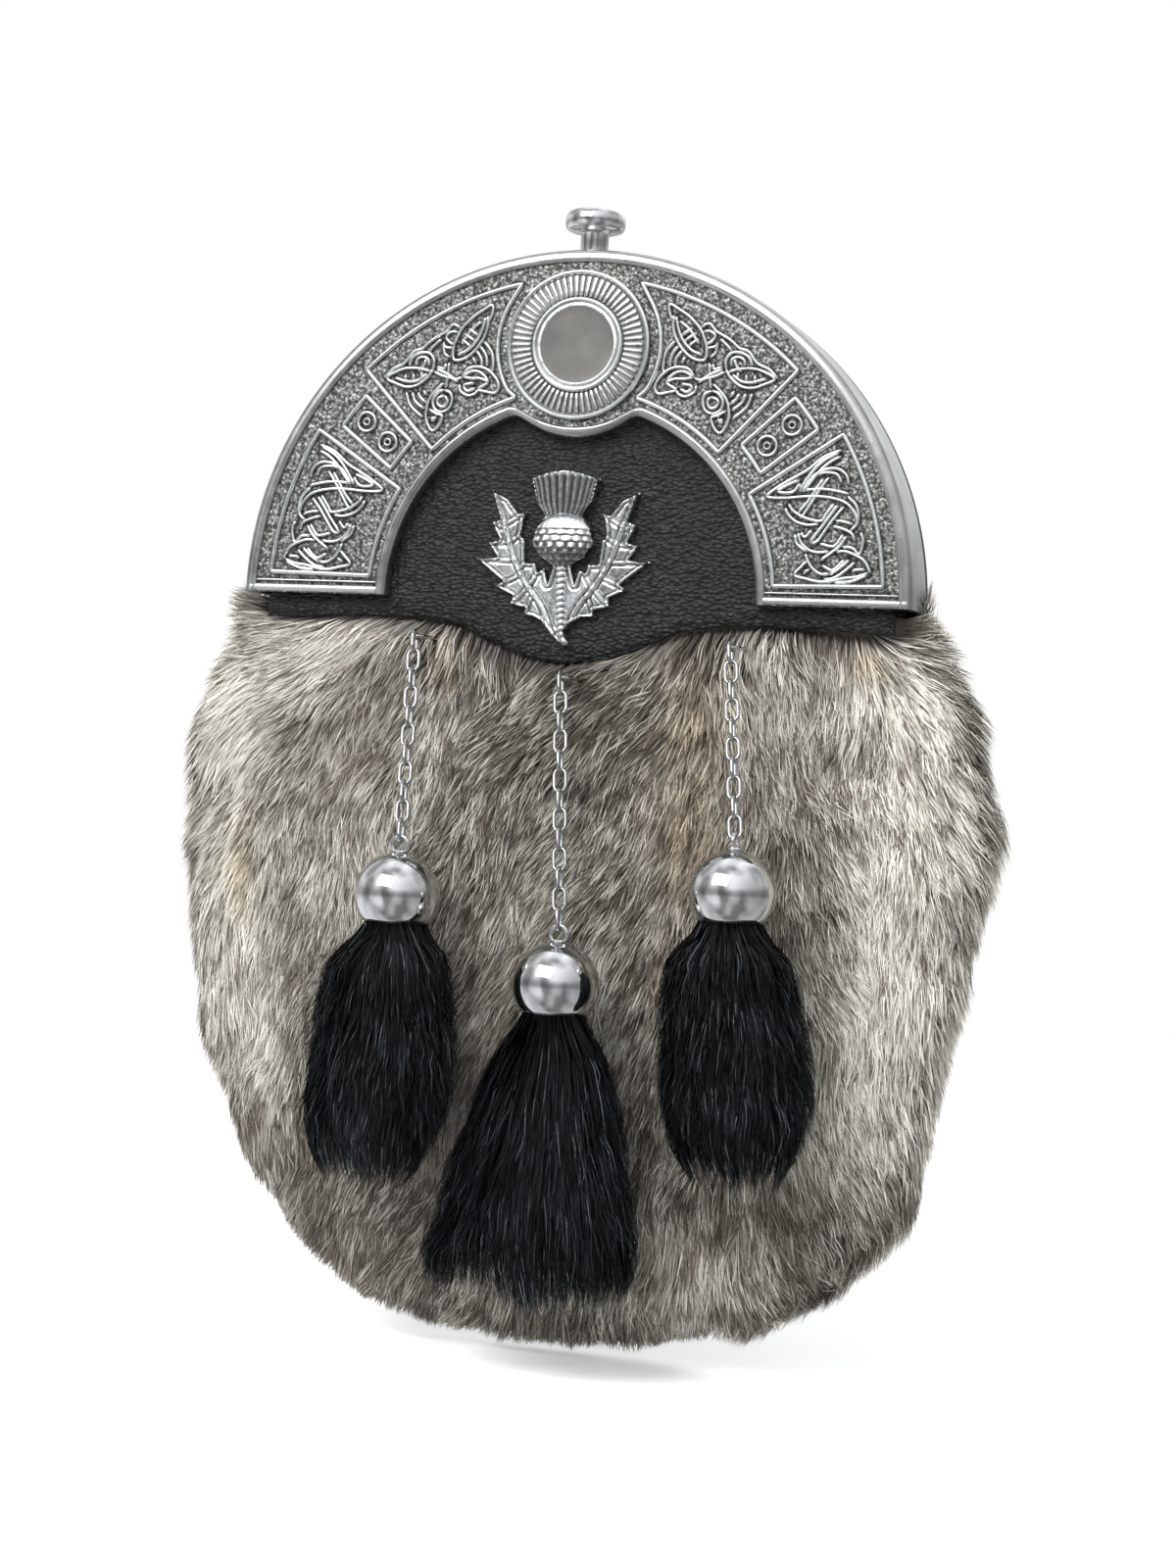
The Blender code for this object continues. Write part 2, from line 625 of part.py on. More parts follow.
def relief_plate(outline, lines):
    """A flat-backed casting with a level edge and ridges at their shares of BADGE_RELIEF."""
    places = [Vector(point) for point in outline]
    heights = [0.0] * len(outline)
    edges = [(i, (i + 1) % len(outline)) for i in range(len(outline))]
    for line, share in lines:
        first = len(places)
        closed = line[0] == line[-1]
        kept = line[:-1] if closed else line
        places += [Vector(point) for point in kept]
        heights += [share * BADGE_RELIEF] * len(kept)
        edges += [(first + i, first + i + 1) for i in range(len(kept) - 1)]
        if closed:
            edges.append((first + len(kept) - 1, first))
    made, _, faces, origins, _, _ = delaunay_2d_cdt(places, edges, [list(range(len(outline)))], 1, 1e-7)
    rise = [max((heights[i] for i in origin), default=BADGE_RELIEF) for origin in origins]
    back = leather_y() - GAP
    front = back - BADGE_THICKNESS
    count = len(made)
    points = [Vector((p.x, front - rise[i], p.y)) for i, p in enumerate(made)]
    points += [Vector((p.x, back, p.y)) for p in made]
    uses = {}
    for face in faces:
        for i, j in zip(face, face[1:] + face[:1]):
            uses[(i, j)] = True
    skin = [tuple(face) for face in faces] + [tuple(i + count for i in reversed(face)) for face in faces]
    skin += [(i, j, j + count, i + count) for i, j in uses if (j, i) not in uses]
    return closed_mesh("thistle", points, skin)


def smoothstep(value):
    value = max(0.0, min(1.0, value))
    return value * value * (3 - 2 * value)


def skin_depth(z):
    """How far the pouch's front stands before its back edge at a height."""
    down = -z / SKIN_DROP
    belly = smoothstep((down - BELLY_START) / BELLY_SPAN)
    foot = smoothstep((down - FOOT_START) / (1 - FOOT_START))
    depth = POUCH_TOP_DEPTH + (POUCH_BELLY - POUCH_TOP_DEPTH) * belly
    return depth + (POUCH_BOTTOM_DEPTH - POUCH_BELLY) * foot


def skin_outline(offset):
    """The pouch's outline as (x, z), larger by an offset: the arch, then down and round the foot."""
    return arch_points(POUCH_ARCH + offset, ARCH_TOP + offset, 11) + skin_below(offset)


def skin_below(offset):
    """The outline below the feet, from the left foot round to the right one."""
    rows = [(SKIN_HALF * across + offset, -SKIN_DROP * down) for down, across in SKIN_ROWS]
    low = rows.pop()
    right = rows + [(low[0], low[1] - offset)]
    left = [(-x, z) for x, z in right]
    return left + list(reversed(right))


def dome_share(share):
    """Depth of the dome at a share of its outline, from 0 at the edge to 1 in the middle."""
    return (1 - share ** 3) ** (1 / 2.2)


def dome_rings(offset):
    """Rings of the dome from its back edge inwards, and its middle point."""
    outline = skin_outline(offset)
    rings = [[Vector((x, POUCH_BACK_Y, z)) for x, z in outline]]
    for share in DOME_SHARES:
        ring = []
        for x, z in outline:
            height = DOME_CENTRE_Z + (z - DOME_CENTRE_Z) * share
            side = SIDE_SHARE + (1 - SIDE_SHARE) * dome_share(share)
            ring.append(Vector((x * share, POUCH_BACK_Y - (skin_depth(height) + offset) * side, height)))
        rings.append(ring)
    middle = Vector((0, POUCH_BACK_Y - skin_depth(DOME_CENTRE_Z) - offset, DOME_CENTRE_Z))
    return rings, middle


def dome_shell(name, outer, inner):
    """A hollow dome, open to the back, between two offsets of the skin."""
    outside, front = dome_rings(outer)
    inside, within = dome_rings(inner)
    return loft(name, list(reversed(inside)) + outside, poles=(within, front))


def surface_of(mesh):
    return BVHTree.FromPolygons(
        [vertex.co for vertex in mesh.vertices], [tuple(face.vertices) for face in mesh.polygons])


def front_point(surface, x, z):
    """The point of a surface that shows from the front at (x, z), and the direction out of it."""
    point, out, _, _ = surface.ray_cast(Vector((x, -1, z)), Vector((0, 1, 0)))
    return point, -out if out.y > 0 else out


def lock(root, along, out, length, width, thickness, lift):
    """One pointed lock of fur whose root is sunk in its backing."""
    side = along.cross(out).normalized()
    rings = []
    for reach, size in ((-0.06, 0.80), (0.45, 1.0)):
        centre = root + along * (length * reach) + out * (lift * reach)
        rings.append([
            centre + side * (width * size / 2), centre + out * (thickness * size * 0.7),
            centre - side * (width * size / 2),
        ])
    tip = root + along * length + out * lift
    rings.append([tip])
    for ring in rings:
        for point in ring:
            point.y = min(point.y, POUCH_BACK_Y - FUR_GAP)
    return loft("lock", rings[:2], poles=(None, tip))


def build_fur_coat(chain_tops):
    """Hide backing round the pouch with rows of locks that lie down and outwards."""
    inner, outer = FUR_GAP, FUR_GAP + FUR_BACKING
    rings, middle = dome_rings(outer)
    coat = loft("coat", rings, poles=(None, middle))
    surface = surface_of(coat)
    dice = random.Random(7)
    locks = []
    for row, (down, count, length, lift) in enumerate(FUR_ROWS):
        z = -SKIN_DROP * down
        half = row_half(z, outer)
        for i in range(count):
            share = (2 * (i + 0.5) / count - 1) * ROW_REACH
            x = half * share
            if row == 0 and abs(x) < LEATHER_HALF:
                continue
            height = z + dice.uniform(-ROOT_STRAY, ROOT_STRAY)
            root, out = front_point(surface, x, height)
            flow = Vector((0.95 * share * (0.40 + 0.60 * abs(share)), 0, -1 + 0.35 * abs(share) ** 3))
            along = (flow - out * flow.dot(out)).normalized()
            reach = length * dice.uniform(0.88, 1.1)
            width = LOCK_WIDTH * dice.uniform(0.9, 1.1) * (1 - 0.4 * share ** 4)
            thickness = LOCK_THICKNESS * dice.uniform(0.9, 1.1)
            locks.append(lock(root - out * FUR_BACKING * 0.4, along, out, reach, width, thickness, lift))
    coat = combine(coat, locks)
    rings, middle = dome_rings(inner)
    behind = [Vector((point.x, 2 * POUCH_BELLY, point.z)) for point in rings[0]]
    pouch = loft("pouch_space", [behind] + rings[1:], poles=(None, middle))
    wide, deep = 2 * SKIN_HALF, 4 * POUCH_BELLY
    box = [(-wide, -deep), (wide, -deep), (wide, deep), (-wide, deep)]
    above = loft("above", [[Vector((x, y, z)) for x, y in box] for z in (FUR_TOP, 2 * SKIN_DROP)])
    cutters = [above]
    for x, z in chain_tops:
        reach = STAPLE_HALF + STAPLE_WIRE / 2 + 2 * GAP
        tall = STAPLE_WIRE / 2 + 2 * GAP
        outline = [(x - reach, z - tall), (x + reach, z - tall), (x + reach, z + tall), (x - reach, z + tall)]
        ends = (-POUCH_BELLY, POUCH_BACK_Y - POUCH_WALL)
        cutters.append(loft("slot", [[Vector((px, y, pz)) for px, pz in outline] for y in ends]))
    return combine(combine(coat, [pouch], "DIFFERENCE"), cutters, "DIFFERENCE")


def row_half(z, offset):
    """Half width of the outline at a height below the feet."""
    outline = [(x, pz) for x, pz in skin_outline(offset) if x >= 0 and pz <= 0]
    outline.sort(key=lambda point: -point[1])
    for (x0, z0), (x1, z1) in zip(outline, outline[1:]):
        if z1 <= z <= z0:
            return x0 + (x1 - x0) * (z0 - z) / (z0 - z1)
    return outline[-1][0]


def build_back_panel():
    """Flat leather back with the pocket's mouth cut through it."""
    front = POUCH_BACK_Y + GAP
    outline = arch_points(CANTLE_RADIUS, CANTLE_RADIUS, 23) + skin_below(FUR_GAP + FUR_BACKING)
    rings = [[Vector((x, y, z)) for x, z in outline] for y in (front, front + LEATHER)]
    panel = loft("panel", rings)
    radius = MOUTH_HEIGHT / 2
    straight = MOUTH_WIDTH / 2 - radius
    outline = [(x + straight, z + MOUTH_Z) for x, z in arc(radius, -90, 90, 7)]
    outline += [(x - straight, z + MOUTH_Z) for x, z in arc(radius, 90, 270, 7)]
    ends = (front - LEATHER, front + 2 * LEATHER)
    slot = loft("mouth", [[Vector((x, y, z)) for x, z in outline] for y in ends])
    return combine(panel, [slot], "DIFFERENCE")


def panel_back_y():
    return POUCH_BACK_Y + GAP + LEATHER


def build_hanger_loop():
    """A leather band, sewn down above and below, that stands off the back for the strap."""
    near = panel_back_y() + GAP
    far = near + STRAP_ROOM + LEATHER
    high = STRAP_HEIGHT / 2
    bend = STRAP_ROOM * 0.4
    outside = (
        (near, high + LEATHER + HANGER_TAB), (near + LEATHER, high + LEATHER + HANGER_TAB),
        (near + LEATHER, high + LEATHER * 0.9), (far - bend * 0.5, high + LEATHER * 0.8),
        (far, high - bend), (far, -high + bend),
        (far - bend * 0.5, -high - LEATHER * 0.8), (near + LEATHER, -high - LEATHER * 0.9),
        (near + LEATHER, -high - LEATHER - HANGER_TAB), (near, -high - LEATHER - HANGER_TAB),
    )
    inside = (
        (near, -high), (far - LEATHER - bend * 0.4, -high + 0.0004), (far - LEATHER, -high + bend),
        (far - LEATHER, high - bend), (far - LEATHER - bend * 0.4, high - 0.0004), (near, high),
    )
    outline = outside + inside
    sides = (-HANGER_WIDTH / 2, HANGER_WIDTH / 2)
    rings = [[Vector((x, y, HANGER_Z + z)) for y, z in outline] for x in sides]
    return loft("hanger", rings)


def link_path(centre, along, across):
    """The middle line of one oval link, ten points."""
    half_length = (LINK_LENGTH - LINK_WIRE) / 2
    half_width = (LINK_WIDTH - LINK_WIRE) / 2
    straight = half_length - half_width
    points = []
    for end in (1, -1):
        for degrees in (90, 45, 0, -45, -90):
            turn = math.radians(degrees)
            forward = end * (straight + half_width * math.cos(turn))
            aside = end * half_width * math.sin(turn)
            points.append(centre + along * forward + across * aside)
    return points


def chain_line(row):
    """The chain's first link centre, its direction and its pitch."""
    name, x, z, y, lean_x, lean_y, count = row
    along = Vector((lean_x, lean_y, -1)).normalized()
    pitch = LINK_LENGTH - 2 * LINK_WIRE + LINK_BITE
    wire_gap = (LINK_WIRE + STAPLE_WIRE) / 2 + GAP
    first = Vector((x, y, z)) + along * ((LINK_LENGTH - LINK_WIRE) / 2 - wire_gap)
    return first, along, pitch


def build_chain(row):
    """A cable chain: each link turned a quarter from the one before."""
    first, along, pitch = chain_line(row)
    flat = along.cross(Vector((0, 1, 0))).normalized()
    deep = flat.cross(along).normalized()
    links = []
    for i in range(row[6]):
        across = deep if i % 2 == 0 else flat
        facing = -flat if i % 2 == 0 else deep
        path = link_path(first + along * (pitch * i), along, across)
        links.append(tube("link", path, LINK_WIRE / 2, 5, loop=True, up=facing))
    return combine(links[0], links[1:])


def build_staple(row, pouch):
    """A wire staple from the pouch's front out through the fur, with its bow in the first link."""
    name, x, z, y = row[:4]
    reach = STAPLE_HALF + STAPLE_WIRE / 2
    back = min(
        front_point(pouch, x + across * reach, z + up * STAPLE_WIRE / 2)[0].y
        for across in (-1, 1) for up in (-1, 1)
    ) - GAP
    bow = [Vector((x + STAPLE_HALF * math.cos(math.radians(a)), y + STAPLE_HALF - STAPLE_HALF
                   * math.sin(math.radians(a)), z)) for a in (0, 45, 90, 135, 180)]
    path = [Vector((x + STAPLE_HALF, back, z))] + bow + [Vector((x - STAPLE_HALF, back, z))]
    return tube("staple", path, STAPLE_WIRE / 2, 5, up=Vector((0, 0, 1)))


def cap_centre(row):
    """Where a ball cap hangs: its eye holds the chain's last link."""
    first, along, pitch = chain_line(row)
    last = first + along * (pitch * (row[6] - 1))
    end = last + along * ((LINK_LENGTH - LINK_WIRE) / 2)
    eye = end + Vector((0, 0, -(EYE_RADIUS - (EYE_WIRE + LINK_WIRE) / 2 - GAP)))
    return eye, eye - Vector((0, 0, CAP_RADIUS + EYE_RADIUS - EYE_WIRE * 0.3))


def build_cap(row):
    """Hollow ball, cut off below, with an eye on its top."""
    eye, centre = cap_centre(row)
    mouth = math.asin(CAP_MOUTH_DROP / CAP_RADIUS)
    inner = CAP_RADIUS - CAP_WALL
    inner_mouth = math.asin(CAP_MOUTH_DROP / inner)
    outside, inside = [], []
    for k in range(6):
        turn = math.pi / 2 + (-mouth - math.pi / 2) * k / 5
        outside.append((CAP_RADIUS * math.cos(turn) if k else 0, CAP_RADIUS * math.sin(turn)))
    for k in range(4):
        turn = -inner_mouth + (math.pi / 2 + inner_mouth) * k / 3
        inside.append((inner * math.cos(turn) if k < 3 else 0, inner * math.sin(turn)))
    ball = turned("ball", outside + inside, 12, centre)
    across = Vector((1, 0, 0)) if row[6] % 2 == 1 else Vector((0, 1, 0))
    ring = [eye + EYE_RADIUS * (math.cos(a) * across + math.sin(a) * Vector((0, 0, 1))) for a in
            (2 * math.pi * k / 10 for k in range(10))]
    return combine(ball, [tube("eye", ring, EYE_WIRE / 2, 5, loop=True,
                               up=across.cross(Vector((0, 0, 1))))])


def build_tassel(row):
    """Neck in the ball cap, then locks that swell and end in points."""
    _, centre = cap_centre(row)
    half, length, shift, shape = TASSELS[row[0]]
    columns = 16
    neck_top = centre.z - CAP_MOUTH_DROP * 0.2
    top = centre.z - CAP_MOUTH_DROP - 0.0012
    rings = [[
        Vector((centre.x + TASSEL_NECK_RADIUS * math.cos(a), centre.y + TASSEL_NECK_RADIUS * math.sin(a), z))
        for a in (2 * math.pi * k / columns for k in range(columns))
    ] for z in (neck_top, top + 0.0005)]
    for down, across in TASSEL_SHAPES[shape]:
        ring = []
        for k in range(columns):
            turn = 2 * math.pi * k / columns
            ridge = 1.04 if k % 2 else 0.90
            deep = TASSEL_HALF_DEPTH * min(1.0, across * 1.15)
            ring.append(Vector((
                centre.x + shift * down + half * across * ridge * math.cos(turn),
                centre.y + deep * ridge * math.sin(turn),
                top - length * down,
            )))
        rings.append(ring)
    low, last = TASSEL_SHAPES[shape][-1]
    tips = []
    for k in range(columns):
        turn = 2 * math.pi * k / columns
        fall, reach = (1.0, 0.66) if k % 2 else (0.30, 0.60)
        fall *= 1 - (0.5 * math.cos(turn) ** 2 if shape == "ovate" else 0.12 * math.sin(3 * turn))
        tips.append(Vector((
            centre.x + shift + half * last * reach * math.cos(turn),
            centre.y + TASSEL_HALF_DEPTH * last * reach * math.sin(turn),
            top - length * (low + (1 - low) * fall),
        )))
    rings.append(tips)
    pole = Vector((centre.x + shift, centre.y, top - length * (low - 0.06)))
    return loft("tassel", rings, poles=(None, pole))


def main():
    clear_scene()
    frame = bpy.data.objects.new("cantle_frame", None)
    bpy.context.scene.collection.objects.link(frame)
    hanger_y = panel_back_y() + GAP + STRAP_ROOM / 2
    frame.location = (0.0, -hanger_y, -HANGER_Z)
    add_piece("cantle", build_cantle(), "cantle", frame)
    add_piece("medallion", build_medallion(), "medallion", frame)
    add_piece("push_knob", build_knob(), "push_knob", frame, (0.0, KNOB_Y, CANTLE_RADIUS))
    add_piece("leather_front", build_leather_front(), "leather", frame)
    add_piece("thistle_badge", build_thistle(), "thistle_badge", frame)
    pouch = dome_shell("pouch", 0.0, -POUCH_WALL)
    pouch_front = surface_of(pouch)
    add_piece("pouch_shell", pouch, "pouch", frame)
    add_piece("fur_coat", build_fur_coat([(row[1], row[2]) for row in CHAINS]), "fur", frame)
    add_piece("back_panel", build_back_panel(), "leather", frame)
    add_piece("hanger_loop", build_hanger_loop(), "leather", frame)
    for row in CHAINS:
        name = row[0]
        add_piece("staple_" + name, build_staple(row, pouch_front), "chrome", frame)
        add_piece("chain_" + name, build_chain(row), "chrome", frame)
        add_piece("cap_" + name, build_cap(row), "chrome", frame)
        add_piece("tassel_" + name, build_tassel(row), "tassel", frame)


main()
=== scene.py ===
"""Looks of the full-dress sporran: cast cantle, leather, fur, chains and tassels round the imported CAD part.

Points are millimetres in the cantle's own frame, where y = 0 is its front plane, z = 0 the line of its feet,
+x the right and +y the back. OFFSET puts that frame in the part's frame.
"""
import math

import bmesh
import bpy
import numpy as np
from mathutils import Matrix, Vector
from mathutils.geometry import delaunay_2d_cdt
from mathutils.kdtree import KDTree


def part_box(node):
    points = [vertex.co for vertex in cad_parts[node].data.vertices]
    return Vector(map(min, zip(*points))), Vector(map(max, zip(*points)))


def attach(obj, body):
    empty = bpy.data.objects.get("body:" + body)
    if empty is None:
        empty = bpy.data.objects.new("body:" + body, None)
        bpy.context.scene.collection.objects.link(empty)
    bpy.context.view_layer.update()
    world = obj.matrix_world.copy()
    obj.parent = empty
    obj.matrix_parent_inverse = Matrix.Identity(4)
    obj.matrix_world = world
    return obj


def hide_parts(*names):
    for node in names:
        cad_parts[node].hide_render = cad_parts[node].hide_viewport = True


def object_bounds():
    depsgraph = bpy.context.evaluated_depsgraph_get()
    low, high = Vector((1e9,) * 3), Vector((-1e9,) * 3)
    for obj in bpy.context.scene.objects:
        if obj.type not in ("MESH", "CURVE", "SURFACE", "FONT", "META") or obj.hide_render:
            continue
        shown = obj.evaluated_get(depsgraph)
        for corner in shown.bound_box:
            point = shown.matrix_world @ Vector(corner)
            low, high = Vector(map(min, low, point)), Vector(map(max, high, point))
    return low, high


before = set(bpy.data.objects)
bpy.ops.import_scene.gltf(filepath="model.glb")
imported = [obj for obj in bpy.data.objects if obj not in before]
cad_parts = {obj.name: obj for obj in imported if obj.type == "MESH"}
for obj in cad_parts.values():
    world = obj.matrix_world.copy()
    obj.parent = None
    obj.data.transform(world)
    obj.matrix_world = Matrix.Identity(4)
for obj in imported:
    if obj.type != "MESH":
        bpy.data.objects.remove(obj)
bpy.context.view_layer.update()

OFFSET = np.array((0.0, -21.2, -30.0))

# Sizes that the part's source gives.
ARCH = 79.0
WINDOW = 43.8
DEPTH = 16.0
WALL = 1.8
PLATE = 2.0
LIP = 3.7
GROUND = 0.6
MEDALLION_Z = 57.3
LOBE = 20.8
KNOB_Y = 8.0
LEATHER_Y = 4.0
LEATHER = 2.0
LEATHER_HALF = 74.5
LEATHER_TOP = 70.0
LEATHER_DROP = 13.9
LEATHER_EDGE = ((1.00, 0.40), (0.60, 0.31), (0.37, 0.42), (0.27, 0.63), (0.16, 0.86), (0.03, 1.00))
SKIN_HALF = 87.0
SKIN_DROP = 160.0
POUCH_ARCH = 75.5
POUCH_TOP = 70.0
SKIN_ROWS = (
    (0.075, 0.900), (0.170, 0.970), (0.300, 1.000), (0.500, 0.960),
    (0.690, 0.880), (0.820, 0.770), (0.920, 0.590), (0.980, 0.330),
)
TOP_DEPTH = 7.6
BELLY_DEPTH = 18.5
FOOT_DEPTH = 13.0
SIDE_SHARE = 0.40
DOME_Z = -50.0
POUCH_WALL = 2.0
FUR_GAP = 0.5
FUR_SKIN = 2.0
FUR_TOP = -1.2
PANEL_Y = 16.3
MOUTH = (110.0, 9.0, -26.0)
SEAM_INSET = 4.0
# name, top x, top z, top y, lean in x, lean in y, links
CHAINS = (
    ("left", -32.5, -9.8, -7.5, 0.095, -0.285, 11),
    ("centre", 3.0, -18.0, -8.5, 0.125, -0.225, 13),
    ("right", 41.2, -10.0, -7.5, 0.166, -0.315, 10),
)
LINK_LENGTH, LINK_WIDTH, LINK_WIRE, LINK_BITE = 5.9, 3.5, 0.85, 0.24
STAPLE_WIRE, STAPLE_HALF = 0.9, 1.7
CAP_RADIUS, CAP_WALL, CAP_DROP = 9.5, 0.8, 5.8
EYE_RADIUS, EYE_WIRE = 1.9, 0.9
TASSEL_DEPTH = 9.0
FUR_HAIRS, TASSEL_HAIRS = 176000, 9400
HAIR_LENGTH, HAIR_LIFT = 12.5, 5.2
HAIR_WIDTHS, TASSEL_WIDTHS = (0.21, 0.41), (0.14, 0.30)
HAIRS_A_TUFT, STRAYS = 6.5, 0.14
# Bare skin round a chain's top, and the mound of hair there: its height and size.
CHAIN_ROOM, MOUND_LIFT, MOUND_SIZE = 2.6, 5.0, 8.0
FLOW_SIZE = 9.0
# half width, length, shift of the middle in x, outline
TASSELS = {
    "left": (18.2, 58.0, -4.0, "ovate"),
    "centre": (25.2, 62.0, -3.5, "flared"),
    "right": (17.8, 56.0, 4.0, "ovate"),
}
TASSEL_SHAPES = {
    "ovate": ((0.00, 0.38), (0.06, 0.60), (0.16, 0.84), (0.30, 0.95), (0.50, 1.00),
              (0.72, 0.98), (0.86, 0.84), (1.0, 0.55)),
    "flared": ((0.00, 0.27), (0.10, 0.46), (0.25, 0.64), (0.45, 0.80), (0.68, 0.96),
               (0.86, 1.02), (1.0, 0.92)),
}

# Thistle: x, half width, foot z and height, then its outlines as shares of half width and height.
BADGE = (-2.0, 21.2, -10.5, 40.0)
LEAF_OUTER = (
    (0.83, 0.88), (0.72, 0.71), (0.82, 0.70), (0.72, 0.60), (0.85, 0.58), (0.74, 0.50),
    (0.98, 0.49), (0.66, 0.36), (0.75, 0.33), (0.54, 0.28), (0.57, 0.23), (0.38, 0.21), (0.41, 0.17),
)
LEAF_INNER = (
    (0.15, 0.35), (0.20, 0.44), (0.27, 0.42), (0.29, 0.47), (0.41, 0.47), (0.44, 0.61),
    (0.48, 0.62), (0.46, 0.72), (0.42, 0.76), (0.52, 0.75), (0.64, 0.83),
)
LEAF_MIDRIB = ((0.78, 0.85), (0.65, 0.66), (0.53, 0.48), (0.36, 0.33), (0.20, 0.22), (0.06, 0.05))
LEAF_VEINS = (
    ((0.65, 0.66), (0.79, 0.69)), ((0.60, 0.58), (0.82, 0.575)), ((0.53, 0.48), (0.92, 0.485)),
    ((0.44, 0.40), (0.72, 0.335)), ((0.36, 0.33), (0.54, 0.235)), ((0.60, 0.58), (0.47, 0.63)),
    ((0.66, 0.68), (0.50, 0.735)), ((0.47, 0.43), (0.41, 0.465)), ((0.30, 0.29), (0.39, 0.185)),
    ((0.36, 0.33), (0.27, 0.41)),
)
BULB_EDGE = ((0.10, 0.45), (0.25, 0.50), (0.35, 0.58), (0.30, 0.68), (0.22, 0.735))
FLOWER_EDGE = ((0.30, 0.80), (0.38, 0.95), (0.17, 0.985), (0.00, 1.00))
FOOT_RIGHT = ((0.24, 0.165), (0.10, 0.115), (0.07, 0.085), (0.12, 0.035), (0.16, 0.005), (0.12, 0.0))
STEM = ((0.0, 0.46), (0.01, 0.25), (0.03, 0.10), (0.10, 0.02))
FOOT_LEFT = ((-0.04, 0.005), (0.02, 0.035), (0.12, 0.09), (0.20, 0.14), (0.30, 0.165))

# Raised lines of the right upper panel's knot, as (x, z).
KNOT = (
    ((22.0, 64.0), (22.0, 61.4), (22.9, 58.7), (24.7, 56.1), (27.2, 54.2), (29.7, 54.0), (30.0, 56.6),
     (29.2, 59.2), (28.0, 61.3), (25.6, 63.7), (23.1, 65.3), (21.2, 66.4), (20.9, 65.1), (21.7, 62.7)),
    ((22.6, 63.7), (23.3, 60.8), (24.6, 58.2), (26.6, 56.1), (29.0, 55.1)),
    ((23.5, 62.7), (25.8, 60.8), (27.0, 59.2), (28.2, 57.6)),
    ((24.1, 59.5), (26.6, 61.1)),
    ((24.8, 58.2), (27.6, 60.0)),
    ((25.7, 56.9), (28.1, 58.7)),
    ((28.5, 61.3), (30.4, 62.0), (32.1, 60.3), (34.4, 59.0), (36.0, 57.9), (37.5, 56.6), (39.7, 55.8),
     (41.1, 54.0), (42.3, 52.9), (44.5, 51.9), (46.6, 49.8)),
    ((29.1, 60.3), (30.7, 60.3), (31.9, 59.2), (30.9, 57.9), (29.8, 57.6)),
    ((30.1, 56.6), (32.0, 56.9), (32.5, 57.9), (32.1, 55.5), (30.8, 54.5)),
    ((33.0, 58.7), (35.0, 56.9), (35.9, 55.8)),
    ((34.7, 51.9), (35.9, 50.0), (38.2, 48.2), (40.9, 47.7), (43.6, 48.5), (45.9, 49.7), (43.7, 51.2),
     (41.0, 52.0), (37.7, 51.9), (35.3, 51.3)),
    ((36.2, 50.8), (38.4, 49.2), (41.1, 49.0), (44.0, 49.9)),
    ((37.6, 50.0), (37.4, 51.3)),
    ((39.5, 49.2), (39.4, 50.8)),
    ((41.4, 49.1), (41.4, 50.7)),
    ((34.7, 51.9), (34.6, 54.0), (35.9, 55.5), (38.1, 55.5), (39.8, 54.5), (40.7, 52.7)),
    ((35.8, 52.6), (36.0, 54.0), (37.3, 54.6), (38.7, 54.0), (39.0, 52.7)),
    ((38.3, 51.3), (37.1, 52.6), (36.5, 54.2)),
    ((30.8, 53.4), (31.0, 50.8), (31.4, 47.6)),
    ((27.5, 50.0), (29.1, 49.5), (31.3, 50.8), (33.9, 51.9)),
    ((28.4, 48.9), (30.0, 49.7), (32.4, 50.3), (34.5, 51.3)),
    ((31.7, 53.2), (32.0, 51.9), (33.9, 52.4)),
    ((31.7, 47.1), (30.1, 46.3), (29.7, 44.5), (30.6, 42.6), (32.6, 42.0), (34.1, 43.2), (34.3, 45.0),
     (33.1, 46.6), (31.7, 47.1)),
    ((31.5, 45.8), (30.8, 44.5), (31.7, 43.2), (33.0, 43.7), (33.2, 45.0), (31.5, 45.8)),
    ((31.9, 48.7), (33.6, 47.1), (35.1, 45.3), (35.7, 43.5), (35.9, 41.1), (35.2, 39.0), (34.0, 37.7),
     (32.6, 39.0), (31.9, 41.1), (33.4, 41.6), (35.2, 42.7)),
    ((33.4, 41.1), (34.2, 39.8), (34.2, 41.1)),
    ((41.0, 46.6), (39.8, 43.5), (36.7, 40.8)),
    ((39.5, 46.6), (38.7, 44.5), (36.5, 42.7)),
    ((38.1, 46.6), (37.4, 45.3), (36.0, 44.1)),
    ((36.9, 47.1), (35.9, 45.8)),
    ((22.6, 58.2), (20.6, 55.5), (20.2, 51.8), (21.1, 51.3)),
    ((23.5, 57.1), (22.0, 55.0), (21.6, 52.6)),
    ((24.4, 56.1), (23.1, 54.2), (22.9, 52.6)),
    ((25.3, 54.7), (24.3, 53.2)),
    ((27.5, 50.0), (26.3, 51.8), (24.1, 52.4), (21.6, 51.8), (19.5, 50.0), (18.5, 47.9), (19.4, 46.4),
     (21.6, 46.7), (23.5, 47.3), (21.2, 48.9), (23.0, 51.0), (25.2, 51.3), (27.5, 50.0)),
    ((20.9, 48.9), (23.1, 49.7), (25.0, 49.7), (27.2, 50.0)),
    ((23.5, 47.3), (24.1, 46.3), (25.8, 45.8), (27.7, 46.8), (28.1, 48.4)),
    ((24.3, 47.6), (26.0, 46.8), (27.0, 48.1), (24.5, 48.7)),
)
